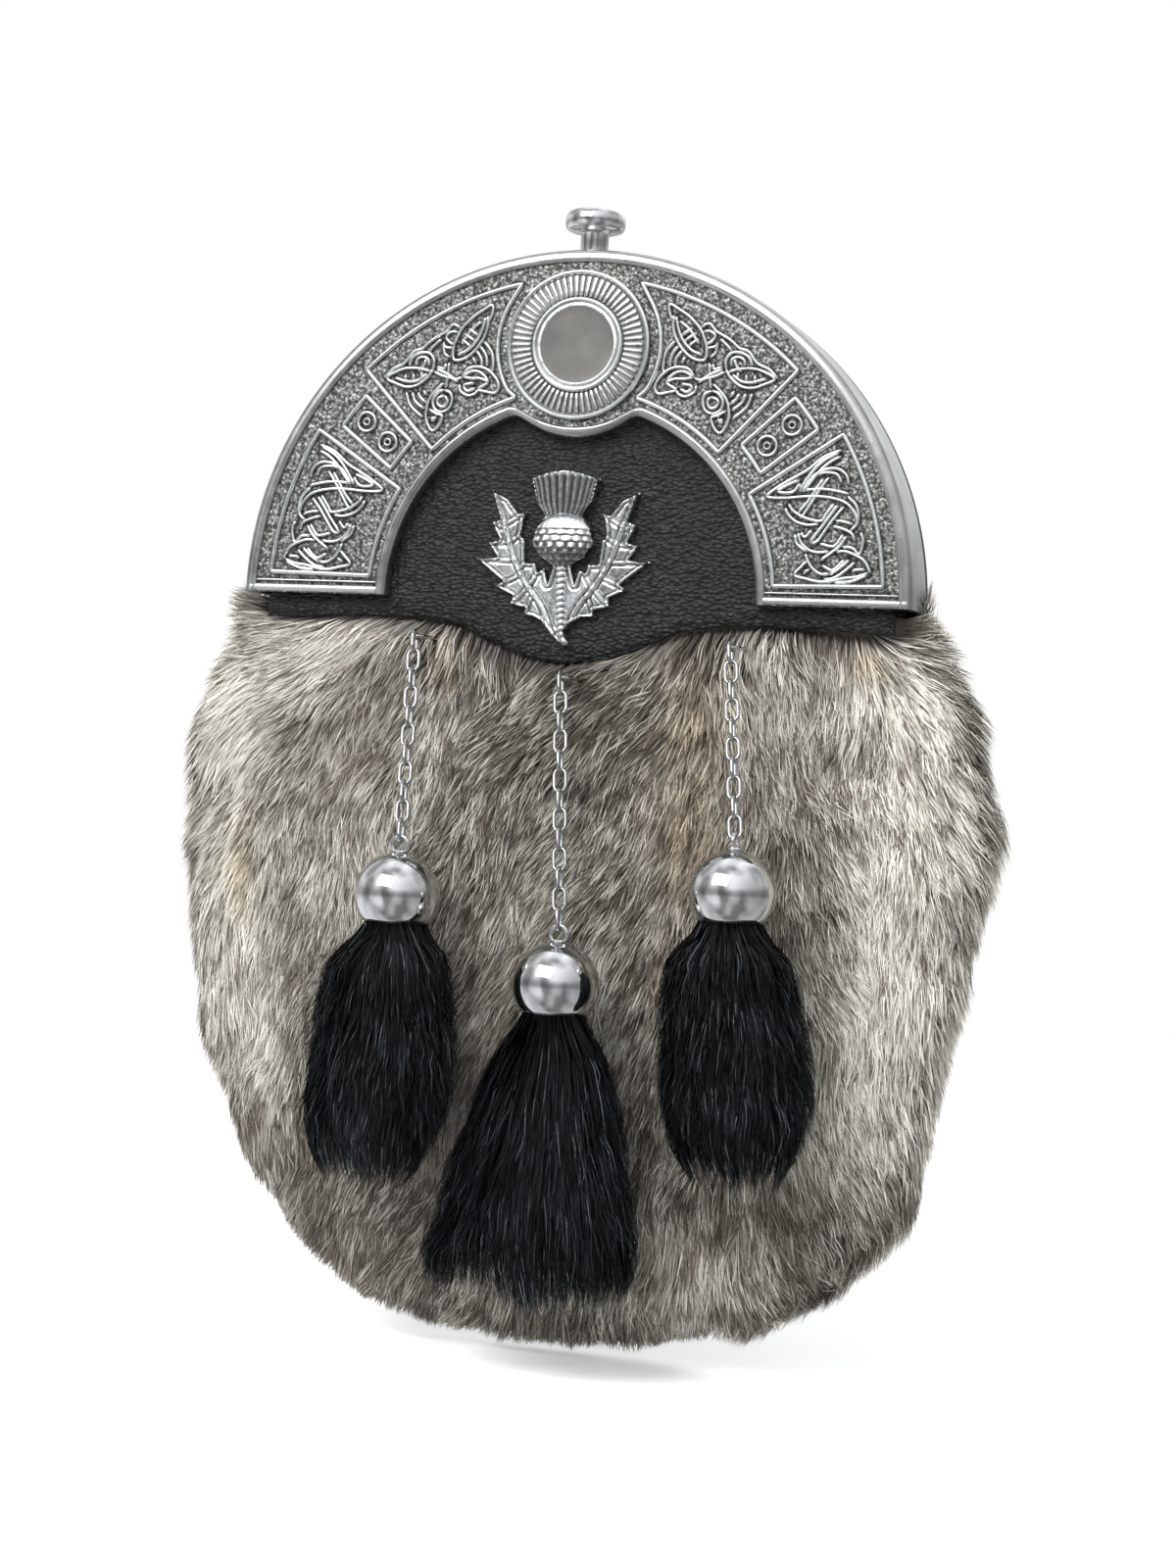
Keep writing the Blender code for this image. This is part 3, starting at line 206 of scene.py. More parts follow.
# Raised lines of the left lower panel's plait, as (x, z).
PLAIT = (
    ((-61.8, 34.3), (-58.0, 32.7), (-54.4, 29.8), (-51.1, 27.9), (-48.0, 26.0), (-45.6, 23.9), (-49.5, 23.6),
     (-53.0, 23.9), (-56.4, 24.1), (-60.1, 23.8), (-63.3, 22.8), (-65.3, 20.8), (-66.0, 18.3),
     (-64.5, 16.6)),
    ((-61.7, 32.9), (-59.5, 31.7), (-57.3, 29.8), (-55.0, 26.8), (-53.6, 25.1)),
    ((-61.3, 33.9), (-57.4, 31.5), (-54.5, 28.1), (-52.8, 25.1)),
    ((-52.6, 27.6), (-49.6, 26.2), (-48.0, 25.0), (-51.2, 24.9), (-52.9, 26.9)),
    ((-63.8, 26.7), (-63.1, 28.9), (-61.0, 30.2), (-58.4, 30.0), (-56.2, 28.8), (-54.5, 26.8),
     (-53.6, 25.1)),
    ((-62.2, 27.2), (-61.0, 29.0), (-58.3, 29.3), (-56.7, 28.8)),
    ((-59.3, 28.3), (-57.6, 25.8), (-55.8, 22.9), (-54.1, 20.2), (-53.2, 19.3)),
    ((-58.0, 28.0), (-56.5, 25.6), (-54.8, 22.9), (-52.8, 20.5)),
    ((-63.9, 24.7), (-61.3, 25.3), (-58.1, 25.7), (-54.1, 25.5)),
    ((-63.6, 24.3), (-65.7, 22.2), (-66.3, 19.8), (-65.9, 17.6)),
    ((-63.0, 22.0), (-60.9, 19.4), (-59.2, 16.9), (-57.4, 14.3), (-56.1, 13.8)),
    ((-61.6, 22.3), (-59.9, 19.9), (-58.2, 17.4), (-56.4, 15.0), (-55.8, 13.8)),
    ((-60.7, 22.6), (-58.8, 19.9), (-58.0, 18.7), (-55.6, 19.0), (-53.5, 19.7), (-51.5, 21.0),
     (-50.5, 22.5)),
    ((-57.4, 18.0), (-55.0, 17.8), (-52.4, 18.5), (-50.6, 20.0), (-49.8, 21.5)),
    ((-65.1, 18.1), (-63.3, 18.6), (-61.2, 18.9)),
    ((-65.7, 14.6), (-65.0, 16.1), (-62.9, 17.1), (-60.6, 17.7)),
    ((-66.9, 16.5), (-67.6, 14.6), (-66.9, 11.6), (-65.4, 12.9), (-63.0, 13.2)),
    ((-56.0, 16.8), (-54.6, 15.1), (-53.6, 16.3)),
    ((-53.0, 16.1), (-53.7, 14.1), (-55.7, 12.3), (-58.1, 11.8), (-60.0, 12.2)),
    ((-52.2, 15.8), (-52.9, 13.6), (-55.2, 11.9)),
    ((-63.9, 15.6), (-62.5, 13.4), (-60.5, 11.7), (-58.3, 10.1)),
    ((-63.1, 15.9), (-61.7, 13.7), (-60.6, 13.2), (-57.9, 13.8)),
    ((-69.6, 7.6), (-68.2, 10.1), (-66.1, 11.4), (-63.7, 12.2), (-61.8, 12.0)),
    ((-69.1, 7.6), (-66.6, 6.7), (-63.6, 6.3), (-60.7, 5.6), (-58.0, 5.5), (-55.4, 6.0), (-52.7, 6.8),
     (-54.2, 8.7), (-55.3, 9.9)),
    ((-66.0, 9.9), (-64.0, 8.0), (-61.5, 6.3), (-59.1, 5.9)),
    ((-64.7, 10.4), (-62.7, 8.5), (-60.5, 7.1)),
    ((-63.6, 10.4), (-62.2, 8.8), (-60.8, 8.0), (-58.7, 9.1)),
    ((-60.5, 7.3), (-58.6, 7.1), (-56.6, 8.4), (-55.3, 10.4), (-54.9, 11.6)),
    ((-68.3, 8.4), (-66.2, 8.2), (-65.4, 7.9)),
    ((-56.0, 8.2), (-54.6, 7.2)),
    ((-68.8, 7.1), (-65.5, 5.7), (-61.7, 5.3)),
)

# Fur: x, z and the way the hair lies, in degrees from straight down towards +x.
FLOW = (
    (-77, -8, -58), (-62, -11, -55), (-81, -23, -38), (-84, -41, -22), (-74, -38, -15), (-63, -36, -6),
    (-52, -23, -25), (-44, -10, -42), (-51, -39, -16), (-36, -41, 5), (-25, -9, 32), (-30, -22, -30),
    (-16, -20, -25), (-15, -38, -27), (-1, -28, -26), (-9, -55, -22), (3, -59, -18), (5, -12, -60),
    (18, -12, -72), (27, -11, 15), (17, -29, -36), (11, -45, -28), (31, -36, -14), (32, -57, -8),
    (36, -46, -5), (52, -13, 2), (63, -13, 6), (64, -36, 8), (55, -60, 20), (66, -72, 24), (51, -39, 6),
    (86, -6, 35), (84, -2, 130), (80, -2, 150), (-84, -2, -115), (-78, -2, -105),
    (90, -20, 24), (96, -37, 34), (99, -47, 40), (76, -49, 2), (83, -63, 5), (91, -79, 4),
    (78, -101, 12), (75, -114, 20), (86, -121, 34), (76, -137, 38), (84, -134, 42), (69, -150, 48),
    (34, -137, -24), (26, -155, -8), (39, -158, 2), (55, -141, 16), (-50, -129, -10), (-33, -139, -15),
    (-22, -139, -30), (-32, -154, -12), (5, -151, -10), (-3, -159, -18), (-47, -145, -26), (-76, -91, -4),
    (-71, -113, 2), (-59, -103, -5), (-80, -68, -6), (-61, -67, -8), (-42, -66, -10), (20, -84, -5),
    (24, -105, -3), (-18, -109, -6), (22, -127, -6), (55, -154, 20), (91, -100, 10),
)
# Patches of its colour: x, z and half sizes.
DARK_FUR = (
    (-23, -25, 9, 13), (-19, -42, 12, 13), (-6, -42, 10, 18), (-3, -20, 6, 8), (13, -34, 8, 18),
    (17, -26, 6, 9), (9, -54, 10, 10), (30, -14, 6, 3), (64, -34, 12, 5), (63, -51, 11, 6), (69, -70, 4, 8),
    (54, -9, 4, 6), (19, -73, 10, 12), (23, -90, 7, 12), (27, -116, 6, 12), (-67, -52, 8, 3),
    (-63, -30, 5, 8), (-18, -65, 10, 10), (-19, -89, 6, 12), (-33, -139, 10, 4), (-45, -131, 6, 4),
    (-4, -145, 12, 8), (8, -161, 13, 3), (-22, -161, 9, 2), (70, -139, 6, 6), (64, -151, 13, 3),
    (36, -132, 8, 4), (86, -9, 5, 6), (91, -33, 3, 11), (-50, -100, 4, 13),
)
LIGHT_FUR = (
    (-85, -23, 8, 12), (-81, -41, 8, 8), (-76, -68, 8, 17), (-77, -91, 8, 17), (-68, -108, 8, 12),
    (-57, -9, 13, 5), (-64, -20, 8, 10), (-26, -9, 6, 8), (-29, -36, 4, 13), (80, -17, 9, 16),
    (75, -32, 8, 11), (77, -59, 10, 21), (86, -79, 10, 21), (78, -101, 10, 21), (75, -118, 9, 12),
    (89, -48, 8, 17), (52, -22, 10, 11), (43, -6, 11, 5), (16, -86, 3, 9), (42, -150, 12, 6),
    (24, -158, 13, 4), (-40, -128, 4, 8), (-15, -155, 8, 6), (-4, -154, 5, 8), (-46, -73, 9, 13),
    (13, -156, 7, 4),
)
TAN_FUR = (
    (31, -28, 8, 12), (32, -50, 6, 8), (37, -61, 6, 8), (-74, -66, 3, 9), (-28, -18, 4, 5), (31, -85, 4, 9),
    (69, -13, 4, 4),
)
# The fur's silhouette, from the right foot down and round to the left one.
FUR_OUTLINE = (
    (85.6, -3), (93.5, -17), (98.4, -32), (101.8, -46), (97.9, -67), (95.1, -88), (90.5, -109),
    (88.5, -124), (86.7, -134), (76, -148), (64, -156.5), (48.7, -163), (21.6, -168), (-11, -169.6),
    (-37.7, -166.4), (-50.6, -160), (-61, -149), (-76.3, -129), (-85.4, -109), (-92, -88), (-93.6, -67),
    (-95.6, -46), (-100.8, -32), (-92.7, -17), (-88.7, -3),
)


# Meshes

def unit_rows(vectors, least=0.0):
    """Vectors made one long; the shorter ones are divided by the least length."""
    vectors = np.asarray(vectors, float)
    return vectors / np.maximum(least, np.linalg.norm(vectors, axis=-1))[..., None]


def looped(path):
    """A path with its first point again at its end."""
    return np.vstack((path, path[:1]))


def travelled(path):
    """How far along a path each of its points lies."""
    return np.concatenate(([0], np.cumsum(np.linalg.norm(np.diff(path, axis=0), axis=1))))


def points_at(path, at):
    """The points of a path at some distances along it."""
    along = travelled(path)
    return np.stack([np.interp(at, along, path[:, k]) for k in range(path.shape[1])], -1)


def facing_ring(radius, turn, y, z=0.0):
    """Points at some angles on a circle that faces the front."""
    x = radius * np.cos(turn)
    return np.stack((x, np.broadcast_to(y, x.shape), z + radius * np.sin(turn)), -1)


def full_turn(count):
    """Angles evenly round a circle."""
    return np.linspace(0, 2 * math.pi, count, endpoint=False)


def tree_of(points):
    tree = KDTree(len(points))
    for i, point in enumerate(points):
        tree.insert(point, i)
    tree.balance()
    return tree


def mesh_of(name, points, corners, sizes):
    """A mesh from points in millimetres, its faces' corners in a row and how many each face has."""
    mesh = bpy.data.meshes.new(name)
    mesh.vertices.add(len(points))
    mesh.vertices.foreach_set("co", ((points + OFFSET) * 0.001).ravel())
    mesh.loops.add(len(corners))
    mesh.loops.foreach_set("vertex_index", corners.astype(np.int32))
    mesh.polygons.add(len(sizes))
    mesh.polygons.foreach_set("loop_start", (np.cumsum(sizes) - sizes).astype(np.int32))
    return mesh


class Form:
    """Points and faces gathered for one joined mesh; each group of faces has its material's number."""

    def __init__(self):
        self.points, self.groups, self.tones, self.count = [], [], [], 0

    def add(self, points, faces, slot=0, tone=None):
        points = np.asarray(points, float).reshape(-1, 3)
        faces = np.asarray(faces, int)
        self.points.append(points)
        self.groups.append((faces + self.count, slot))
        self.tones.append(np.ones(len(points)) if tone is None else np.asarray(tone, float).ravel())
        self.count += len(points)

    def grid(self, rows, slot=0, wrap=False, close=False, tone=None):
        """Quads over rows of points; wrap joins each row's ends, close joins the last row to the first."""
        rows = np.asarray(rows, float)
        high, wide = rows.shape[:2]
        index = np.arange(high * wide).reshape(high, wide)
        a = index if close else index[:-1]
        b = np.roll(index, -1, 0) if close else index[1:]
        if wrap:
            faces = np.stack((a, np.roll(a, -1, 1), np.roll(b, -1, 1), b), -1)
        else:
            faces = np.stack((a[:, :-1], a[:, 1:], b[:, 1:], b[:, :-1]), -1)
        self.add(rows, faces.reshape(-1, 4), slot, tone)

    def fan(self, ring, middle):
        """Triangles from a ring to one point."""
        count = len(ring)
        i = np.arange(count)
        faces = np.stack((i, (i + 1) % count, np.full(count, count)), -1)
        self.add(np.vstack((ring, [middle])), faces)

    def piece(self, name, looks, slot, body="sporran", replaces=(), smooth=40.0, weld=True):
        """The joined mesh as a piece that rides on a body."""
        corners = np.concatenate([faces.ravel() for faces, _ in self.groups])
        sizes = np.concatenate([np.full(len(faces), faces.shape[1]) for faces, _ in self.groups])
        slots = np.concatenate([np.full(len(faces), number) for faces, number in self.groups])
        mesh = mesh_of(name, np.vstack(self.points), corners, sizes)
        mesh.polygons.foreach_set("material_index", slots.astype(np.int32))
        # The tone attribute holds the cast metals' painted shade, with patina on the cantle and medallion.
        tone = mesh.attributes.new("tone", "FLOAT", "POINT")
        tone.data.foreach_set("value", np.concatenate(self.tones).astype(np.float32))
        mesh.update(calc_edges=True)
        mesh.validate()
        if weld:
            work = bmesh.new()
            work.from_mesh(mesh)
            bmesh.ops.remove_doubles(work, verts=work.verts, dist=2e-6)
            bmesh.ops.recalc_face_normals(work, faces=work.faces)
            work.to_mesh(mesh)
            work.free()
        for look in looks:
            mesh.materials.append(look)
        mesh.shade_smooth()
        if smooth < 180:
            mesh.set_sharp_from_angle(angle=math.radians(smooth))
        return place(name, mesh, body, replaces)


def place(name, mesh, body, replaces):
    """A mesh as a piece that rides on a body, in the place of some solids."""
    item = bpy.data.objects.new(name, mesh)
    bpy.context.scene.collection.objects.link(item)
    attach(item, body)
    if replaces:
        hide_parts(*replaces)
    return item


def smooth_line(points, step, closed=False):
    """Evenly spaced points on a smooth curve through the given ones."""
    points = np.asarray(points, float)
    count = len(points)
    if count == 2 and not closed:
        parts = max(2, int(np.linalg.norm(points[1] - points[0]) / step))
        return points[0] + (points[1] - points[0]) * np.linspace(0, 1, parts + 1)[:, None]
    fine = []
    for i in range(count if closed else count - 1):
        if closed:
            a, b, c, d = (points[(i + k) % count] for k in (-1, 0, 1, 2))
        else:
            b, c = points[i], points[i + 1]
            a = points[i - 1] if i > 0 else 2 * b - c
            d = points[i + 2] if i < count - 2 else 2 * c - b
        for t in np.arange(12) / 12:
            fine.append(0.5 * (2 * b + (c - a) * t + (2 * a - 5 * b + 4 * c - d) * t * t
                               + (3 * b - a - 3 * c + d) * t ** 3))
    fine.append(points[0] if closed else points[-1])
    fine = np.array(fine)
    length = travelled(fine)[-1]
    at = np.linspace(0, length, max(3, int(round(length / step))) + 1)
    return points_at(fine, at[:-1] if closed else at)


def path_way(path, closed):
    """The way that a path goes at each of its points, not made one long."""
    return np.roll(path, -1, 0) - np.roll(path, 1, 0) if closed else np.gradient(path, axis=0)


def tube(form, path, radius, sides, closed=False, up=(0, 1, 0)):
    """A round wire; its ends are rounded off."""
    path = np.asarray(path, float)
    along = unit_rows(path_way(path, closed))
    side = unit_rows(np.cross(along, np.asarray(up, float)), 1e-9)
    out = np.cross(side, along)
    turn = full_turn(sides)
    ring = np.cos(turn)[None, :, None] * side[:, None] + np.sin(turn)[None, :, None] * out[:, None]
    rows = path[:, None] + radius * ring
    if not closed:
        start = path[0] + radius * (0.7 * ring[0] - 0.7 * along[0])
        end = path[-1] + radius * (0.7 * ring[-1] + 0.7 * along[-1])
        rows = np.concatenate((start[None], rows, end[None]))
        form.fan(rows[0], path[0] - along[0] * radius)
        form.fan(rows[-1], path[-1] + along[-1] * radius)
    form.grid(rows, wrap=True, close=closed)


def turned(form, rows, sides, centre):
    """Rows of (radius, height) turned about the upright through the centre; a radius of 0 is a pole."""
    turn = full_turn(sides)
    rings = []
    for radius, height in rows:
        radius = max(radius, 1e-5)
        ring = np.stack((radius * np.cos(turn), radius * np.sin(turn), np.full(sides, height)), -1)
        rings.append(ring + np.asarray(centre, float))
    form.grid(rings, wrap=True)


LINE_SINK = 0.35
# A raised line's section: across as a share of its width, up as a share of its height, tone; the tone is
# patina and painted shade, darker at the line's feet.
LINE_SECTION = (
    (-0.5, -0.35, 0.35), (-0.44, 0.30, 0.6), (-0.24, 0.86, 0.95), (0.0, 1.0, 1.0),
    (0.24, 0.86, 0.95), (0.44, 0.30, 0.6), (0.5, -0.35, 0.35),
)


def ridge(form, path, width, height, base, closed):
    """A raised line on a plate whose front is at y = base; the path is (x, z)."""
    path = np.asarray(path, float)
    along = unit_rows(path_way(path, closed), 1e-9)
    taper = np.ones(len(path))
    if not closed:
        taper[0] = taper[-1] = 0.45
    side = np.stack((along[:, 1], -along[:, 0]), -1)
    rows = []
    for across, up, _ in LINE_SECTION:
        lift = height * up * taper if up > 0 else np.full(len(path), -LINE_SINK)
        shift = side * (width * across * taper)[:, None]
        rows.append(np.stack((path[:, 0] + shift[:, 0], base - lift, path[:, 1] + shift[:, 1]), -1))
    rows = np.stack(rows, 1)
    # Patina and painted shade across the line, darker at its feet.
    tone = np.tile([row[2] for row in LINE_SECTION], len(path))
    form.grid(rows, close=closed, tone=tone)


def inside(points, outline):
    """Which (x, z) points lie inside a closed outline."""
    x, z = points[:, 0], points[:, 1]
    hit = np.zeros(len(points), bool)
    for (x0, z0), (x1, z1) in zip(outline, np.roll(outline, -1, 0)):
        if z0 == z1:
            continue
        crosses = (z0 > z) != (z1 > z)
        hit ^= crosses & (x < (x1 - x0) * (z - z0) / (z1 - z0) + x0)
    return hit


def off_lines(points, lines):
    """Distance of (x, z) points to the nearest of some polylines."""
    best = np.full(len(points), 1e9)
    for line in lines:
        line = np.asarray(line, float)
        for a, b in zip(line[:-1], line[1:]):
            way = b - a
            share = np.clip(((points - a) @ way) / max(1e-12, way @ way), 0, 1)
            best = np.minimum(best, np.linalg.norm(points - a - share[:, None] * way, axis=1))
    return best


def plate(form, outline, spacing, front, back, holes=(), tone=None):
    """A plate between two functions of (x, z) that give y, with a fine mesh inside its outline."""
    outline = np.asarray(outline, float)
    low, high = outline.min(0), outline.max(0)
    xs = np.arange(low[0], high[0], spacing)
    zs = np.arange(low[1], high[1], spacing * 0.866)
    grid_x, grid_z = np.meshgrid(xs, zs)
    grid_x = grid_x + (np.arange(len(zs)) % 2)[:, None] * spacing / 2
    inner = np.stack((grid_x.ravel(), grid_z.ravel()), -1)
    rims = [outline] + [np.asarray(hole, float) for hole in holes]
    keep = inside(inner, outline)
    for hole in rims[1:]:
        keep &= ~inside(inner, hole)
    inner = inner[keep]
    edge = off_lines(inner, [looped(rim) for rim in rims])
    inner = inner[edge > spacing * 0.45]
    places = np.vstack(rims + [inner])
    edges, first = [], 0
    for rim in rims:
        edges += [(first + i, first + (i + 1) % len(rim)) for i in range(len(rim))]
        first += len(rim)
    made, _, faces, _, _, _ = delaunay_2d_cdt(
        [Vector(p) for p in places.tolist()], edges, [list(range(len(outline)))], 1, 1e-6)
    made = np.array([tuple(p) for p in made])
    faces = np.array([list(face) for face in faces])
    middles = made[faces].mean(1)
    keep = np.ones(len(faces), bool)
    for hole in rims[1:]:
        keep &= ~inside(middles, hole)
    faces = faces[keep]
    y_front, y_back = front(made), back(made)
    points = np.vstack([np.stack((made[:, 0], y, made[:, 1]), -1) for y in (y_front, y_back)])
    count = len(made)
    uses = {(a, b) for face in faces.tolist() for a, b in zip(face, face[1:] + face[:1])}
    rim_edges = [(a, b) for a, b in uses if (b, a) not in uses]
    walls = np.array([(a, b, b + count, a + count) for a, b in sorted(rim_edges)])
    tones = np.ones(2 * count)
    if tone is not None:
        tones[:count] = tone(made)
    form.add(points, faces, tone=tones)
    start = form.count - len(points)
    form.groups += [(faces[:, ::-1] + start + count, 0), (walls + start, 0)]


def rounded(edge):
    """How far a rounded edge falls back, from 1 at the rim to 0 where edge is 1."""
    return 1 - np.sqrt(1 - (1 - edge) ** 2)


def level(y):
    """A plate's side that is flat."""
    return lambda p: np.full(len(p), y)


def field_noise(x, z, size, seed):
    """Smooth noise from 0 to 1 whose cells have that size."""
    lattice = np.random.default_rng(seed).random((64, 64))
    u, v = x / size + 512.0, z / size + 512.0
    i, j = np.floor(u).astype(int), np.floor(v).astype(int)
    a, b = u - i, v - j
    a, b = a * a * (3 - 2 * a), b * b * (3 - 2 * b)
    i0, i1, j0, j1 = i % 64, (i + 1) % 64, j % 64, (j + 1) % 64
    low = lattice[i0, j0] * (1 - a) + lattice[i1, j0] * a
    high = lattice[i0, j1] * (1 - a) + lattice[i1, j1] * a
    return low * (1 - b) + high * b


# Materials

class Nodes:
    """The nodes of one tree. An input takes a number, a colour or another node's socket."""

    def __init__(self, tree):
        self.tree = tree

    def node(self, kind, inputs=None, **settings):
        made = self.tree.nodes.new("ShaderNode" + kind)
        for name, value in settings.items():
            setattr(made, name, value)
        for name, value in (inputs or {}).items():
            if isinstance(value, bpy.types.NodeSocket):
                self.tree.links.new(value, made.inputs[name])
            else:
                made.inputs[name].default_value = value
        return made

    def ramp(self, value, stops):
        made = self.node("ValToRGB", {"Fac": value})
        band = made.color_ramp
        while len(band.elements) < len(stops):
            band.elements.new(0.5)
        for element, (at, colour) in zip(band.elements, stops):
            element.position = at
            element.color = (*colour, 1.0) if isinstance(colour, tuple) else (colour, colour, colour, 1.0)
        return made.outputs["Color"]

    def span(self, value, *ends, **settings):
        """A value moved from one range to another: from low, from high, to low, to high."""
        names = ("Value", "From Min", "From Max", "To Min", "To Max")
        return self.node("MapRange", dict(zip(names, (value, *ends))), **settings).outputs["Result"]

    def maths(self, operation, a, b):
        return self.node("Math", {0: a, 1: b}, operation=operation).outputs[0]

    def vector(self, operation, a, b=None):
        inputs = {0: a} if b is None else {0: a, 1: b}
        return self.node("VectorMath", inputs, operation=operation).outputs

    def blend(self, share, a, b, mode="MIX"):
        return self.node("Mix", {0: share, 6: a, 7: b}, data_type="RGBA", blend_type=mode).outputs[2]


class Look(Nodes):
    """A material with its nodes."""

    def __init__(self, name, colour, roughness, metallic=0.0, specular=0.5):
        self.made = bpy.data.materials.new(name)
        self.made.use_nodes = True
        super().__init__(self.made.node_tree)
        self.shader = self.tree.nodes["Principled BSDF"]
        self.set("Base Color", (*colour, 1.0))
        self.set("Roughness", roughness)
        self.set("Metallic", metallic)
        self.set("Specular IOR Level", specular)
        self.where = self.node("TexCoord").outputs["Object"]

    def set(self, name, value):
        self.shader.inputs[name].default_value = value

    def noise(self, size, detail=2.0, rough=0.5):
        """Noise whose grain is that many millimetres."""
        return self.node("TexNoise", {
            "Vector": self.where, "Scale": 1000.0 / size, "Detail": detail, "Roughness": rough,
        }).outputs["Fac"]

    def cells(self, size, jitter=1.0):
        return self.node("TexVoronoi", {
            "Vector": self.where, "Scale": 1000.0 / size, "Randomness": jitter,
        }, feature="F1").outputs["Distance"]

    def attribute(self, name, output="Fac"):
        return self.node("Attribute", attribute_name=name).outputs[output]

    def feed(self, name, socket):
        self.tree.links.new(socket, self.shader.inputs[name])

    def colour(self, value, stops):
        self.feed("Base Color", self.ramp(value, stops))

    def gloss(self, size, detail, low, high, top=0.8):
        """Roughness between two values, over noise."""
        self.feed("Roughness", self.ramp(self.noise(size, detail), ((0.3, low), (top, high))))

    def bump(self, heights):
        """Bumps one over the other: (height socket, strength, millimetres)."""
        normal = None
        for height, strength, distance in heights:
            inputs = {"Height": height, "Strength": strength, "Distance": distance * 0.001}
            if normal is not None:
                inputs["Normal"] = normal
            normal = self.node("Bump", inputs).outputs["Normal"]
        self.feed("Normal", normal)

    def rough(self, bumps):
        """Bumps of noise: (size, detail, strength, millimetres)."""
        self.bump([(self.noise(size, detail), strength, depth) for size, detail, strength, depth in bumps])


def chrome_look(name, bright, rough):
    look = Look(name, (bright, bright * 1.005, bright * 1.015), rough, 1.0)
    wear = look.noise(6.0, 3.0)
    look.feed("Roughness", look.ramp(wear, ((0.35, rough * 0.7), (0.75, rough * 1.9 + 0.02))))
    look.rough(((9.0, 1.0, 0.10, 0.05), (0.35, 2.0, 0.05, 0.01)))
    return look.made


def cast_look(name, stain, gloss, bumps, stops, shade_mix=None):
    """Cast metal: colours over stains, or over the casting's tone, which is painted shade (with patina on the
    cantle and medallion) and which two given numbers mix with the stains.
    """
    look = Look(name, (0.5, 0.5, 0.5), gloss[2], 1.0)
    shade = look.noise(*stain)
    if shade_mix:
        share = look.maths("ADD", look.maths("MULTIPLY", shade, shade_mix[0]), shade_mix[1])
        shade = look.maths("MULTIPLY", look.attribute("tone"), share)
    look.colour(shade, stops)
    look.gloss(*gloss)
    look.rough(bumps)
    return look.made


def plain_look(name, roughness, specular, stain, stops, bump):
    look = Look(name, stops[0][1], roughness, 0.0, specular)
    look.colour(look.noise(*stain), stops)
    look.rough((bump,))
    return look.made


def ground_look():
    """Stippled ground of the casting: dark pits between brighter grains, and patina with painted shade darker
    beside the raised lines.
    """
    look = Look("stippled_pewter", (0.3, 0.3, 0.29), 0.45, 1.0)
    grain = look.cells(0.95)
    speck = look.noise(0.55, 2.0, 0.6)
    height = look.maths("SUBTRACT", speck, look.maths("MULTIPLY", grain, 0.45))
    shade = look.ramp(height, (
        (0.14, (0.10, 0.10, 0.095)), (0.34, (0.34, 0.34, 0.325)), (0.56, (0.72, 0.735, 0.72))))
    # Patina and painted shade from the tone: the ground darker beside the raised lines.
    patina_and_shade = look.ramp(look.attribute("tone"), ((0.0, (0.22, 0.21, 0.20)), (0.8, (1.0, 1.0, 1.0))))
    look.feed("Base Color", look.blend(1.0, shade, patina_and_shade, "MULTIPLY"))
    look.feed("Roughness", look.ramp(height, ((0.2, 0.60), (0.6, 0.36))))
    look.bump([(height, 0.8, 0.28)])
    return look.made


def leather_look(name, colour, size=1.05, gloss=0.40):
    """Pebbled leather: rounded cells drawn out sideways, fine creases between them and a soft sheen."""
    look = Look(name, colour, gloss, 0.0, 0.38)
    look.where = look.vector("MULTIPLY", look.where, (0.72, 1.0, 1.30))[0]
    cell = look.cells(size, 0.9)
    crease = look.noise(size * 1.7, 3.0, 0.6)
    fine = look.noise(0.22, 2.0)
    height = look.maths("ADD", look.maths("MULTIPLY", cell, -0.7), look.maths("MULTIPLY", crease, 0.9))
    dark = tuple(channel * 0.35 for channel in colour)
    light = tuple(channel * 2.4 + 0.004 for channel in colour)
    look.colour(height, ((0.0, dark), (0.25, colour), (0.5, light)))
    look.gloss(14.0, 2.0, gloss - 0.07, gloss + 0.10, 0.75)
    look.bump([(height, 1.0, 0.55), (fine, 0.15, 0.04)])
    return look.made


def hair_look(name, roughness, specular, sheen, tint):
    look = Look(name, (0.3, 0.27, 0.24), roughness, 0.0, specular)
    look.feed("Base Color", look.attribute("hair", "Color"))
    look.set("Sheen Weight", sheen)
    look.set("Sheen Roughness", 0.45)
    look.set("Sheen Tint", (*tint, 1.0))
    look.gloss(3.0, 2.0, roughness - 0.06, roughness + 0.10)
    return look.made


CHROME = chrome_look("polished_chrome", 0.78, 0.05)
# The chain and staples: a darker copy of the polished chrome, painted shade for the darker surroundings they
# mirror.
CHAIN_CHROME = chrome_look("chain_chrome", 0.52, 0.07)
# Raised lines: pale metal, darker low down, where their tone holds patina and painted shade.
RELIEF = cast_look(
    "raised_pewter", (2.5, 3.0), (1.2, 2.0, 0.24, 0.42), ((0.7, 2.0, 0.25, 0.10),),
    ((0.12, (0.085, 0.085, 0.080)), (0.5, (0.42, 0.43, 0.42)), (0.85, (0.86, 0.895, 0.88))), (0.5, 0.72))
# Satin rims and the side wall, with fine scratches.
RIM = cast_look(
    "rim_pewter", (6.0, 4.0, 0.6), (3.0, 3.0, 0.24, 0.38), ((2.2, 2.0, 0.10, 0.08), (0.25, 1.0, 0.08, 0.02)),
    ((0.30, (0.44, 0.445, 0.435)), (0.55, (0.55, 0.56, 0.55)), (0.80, (0.66, 0.675, 0.665))))
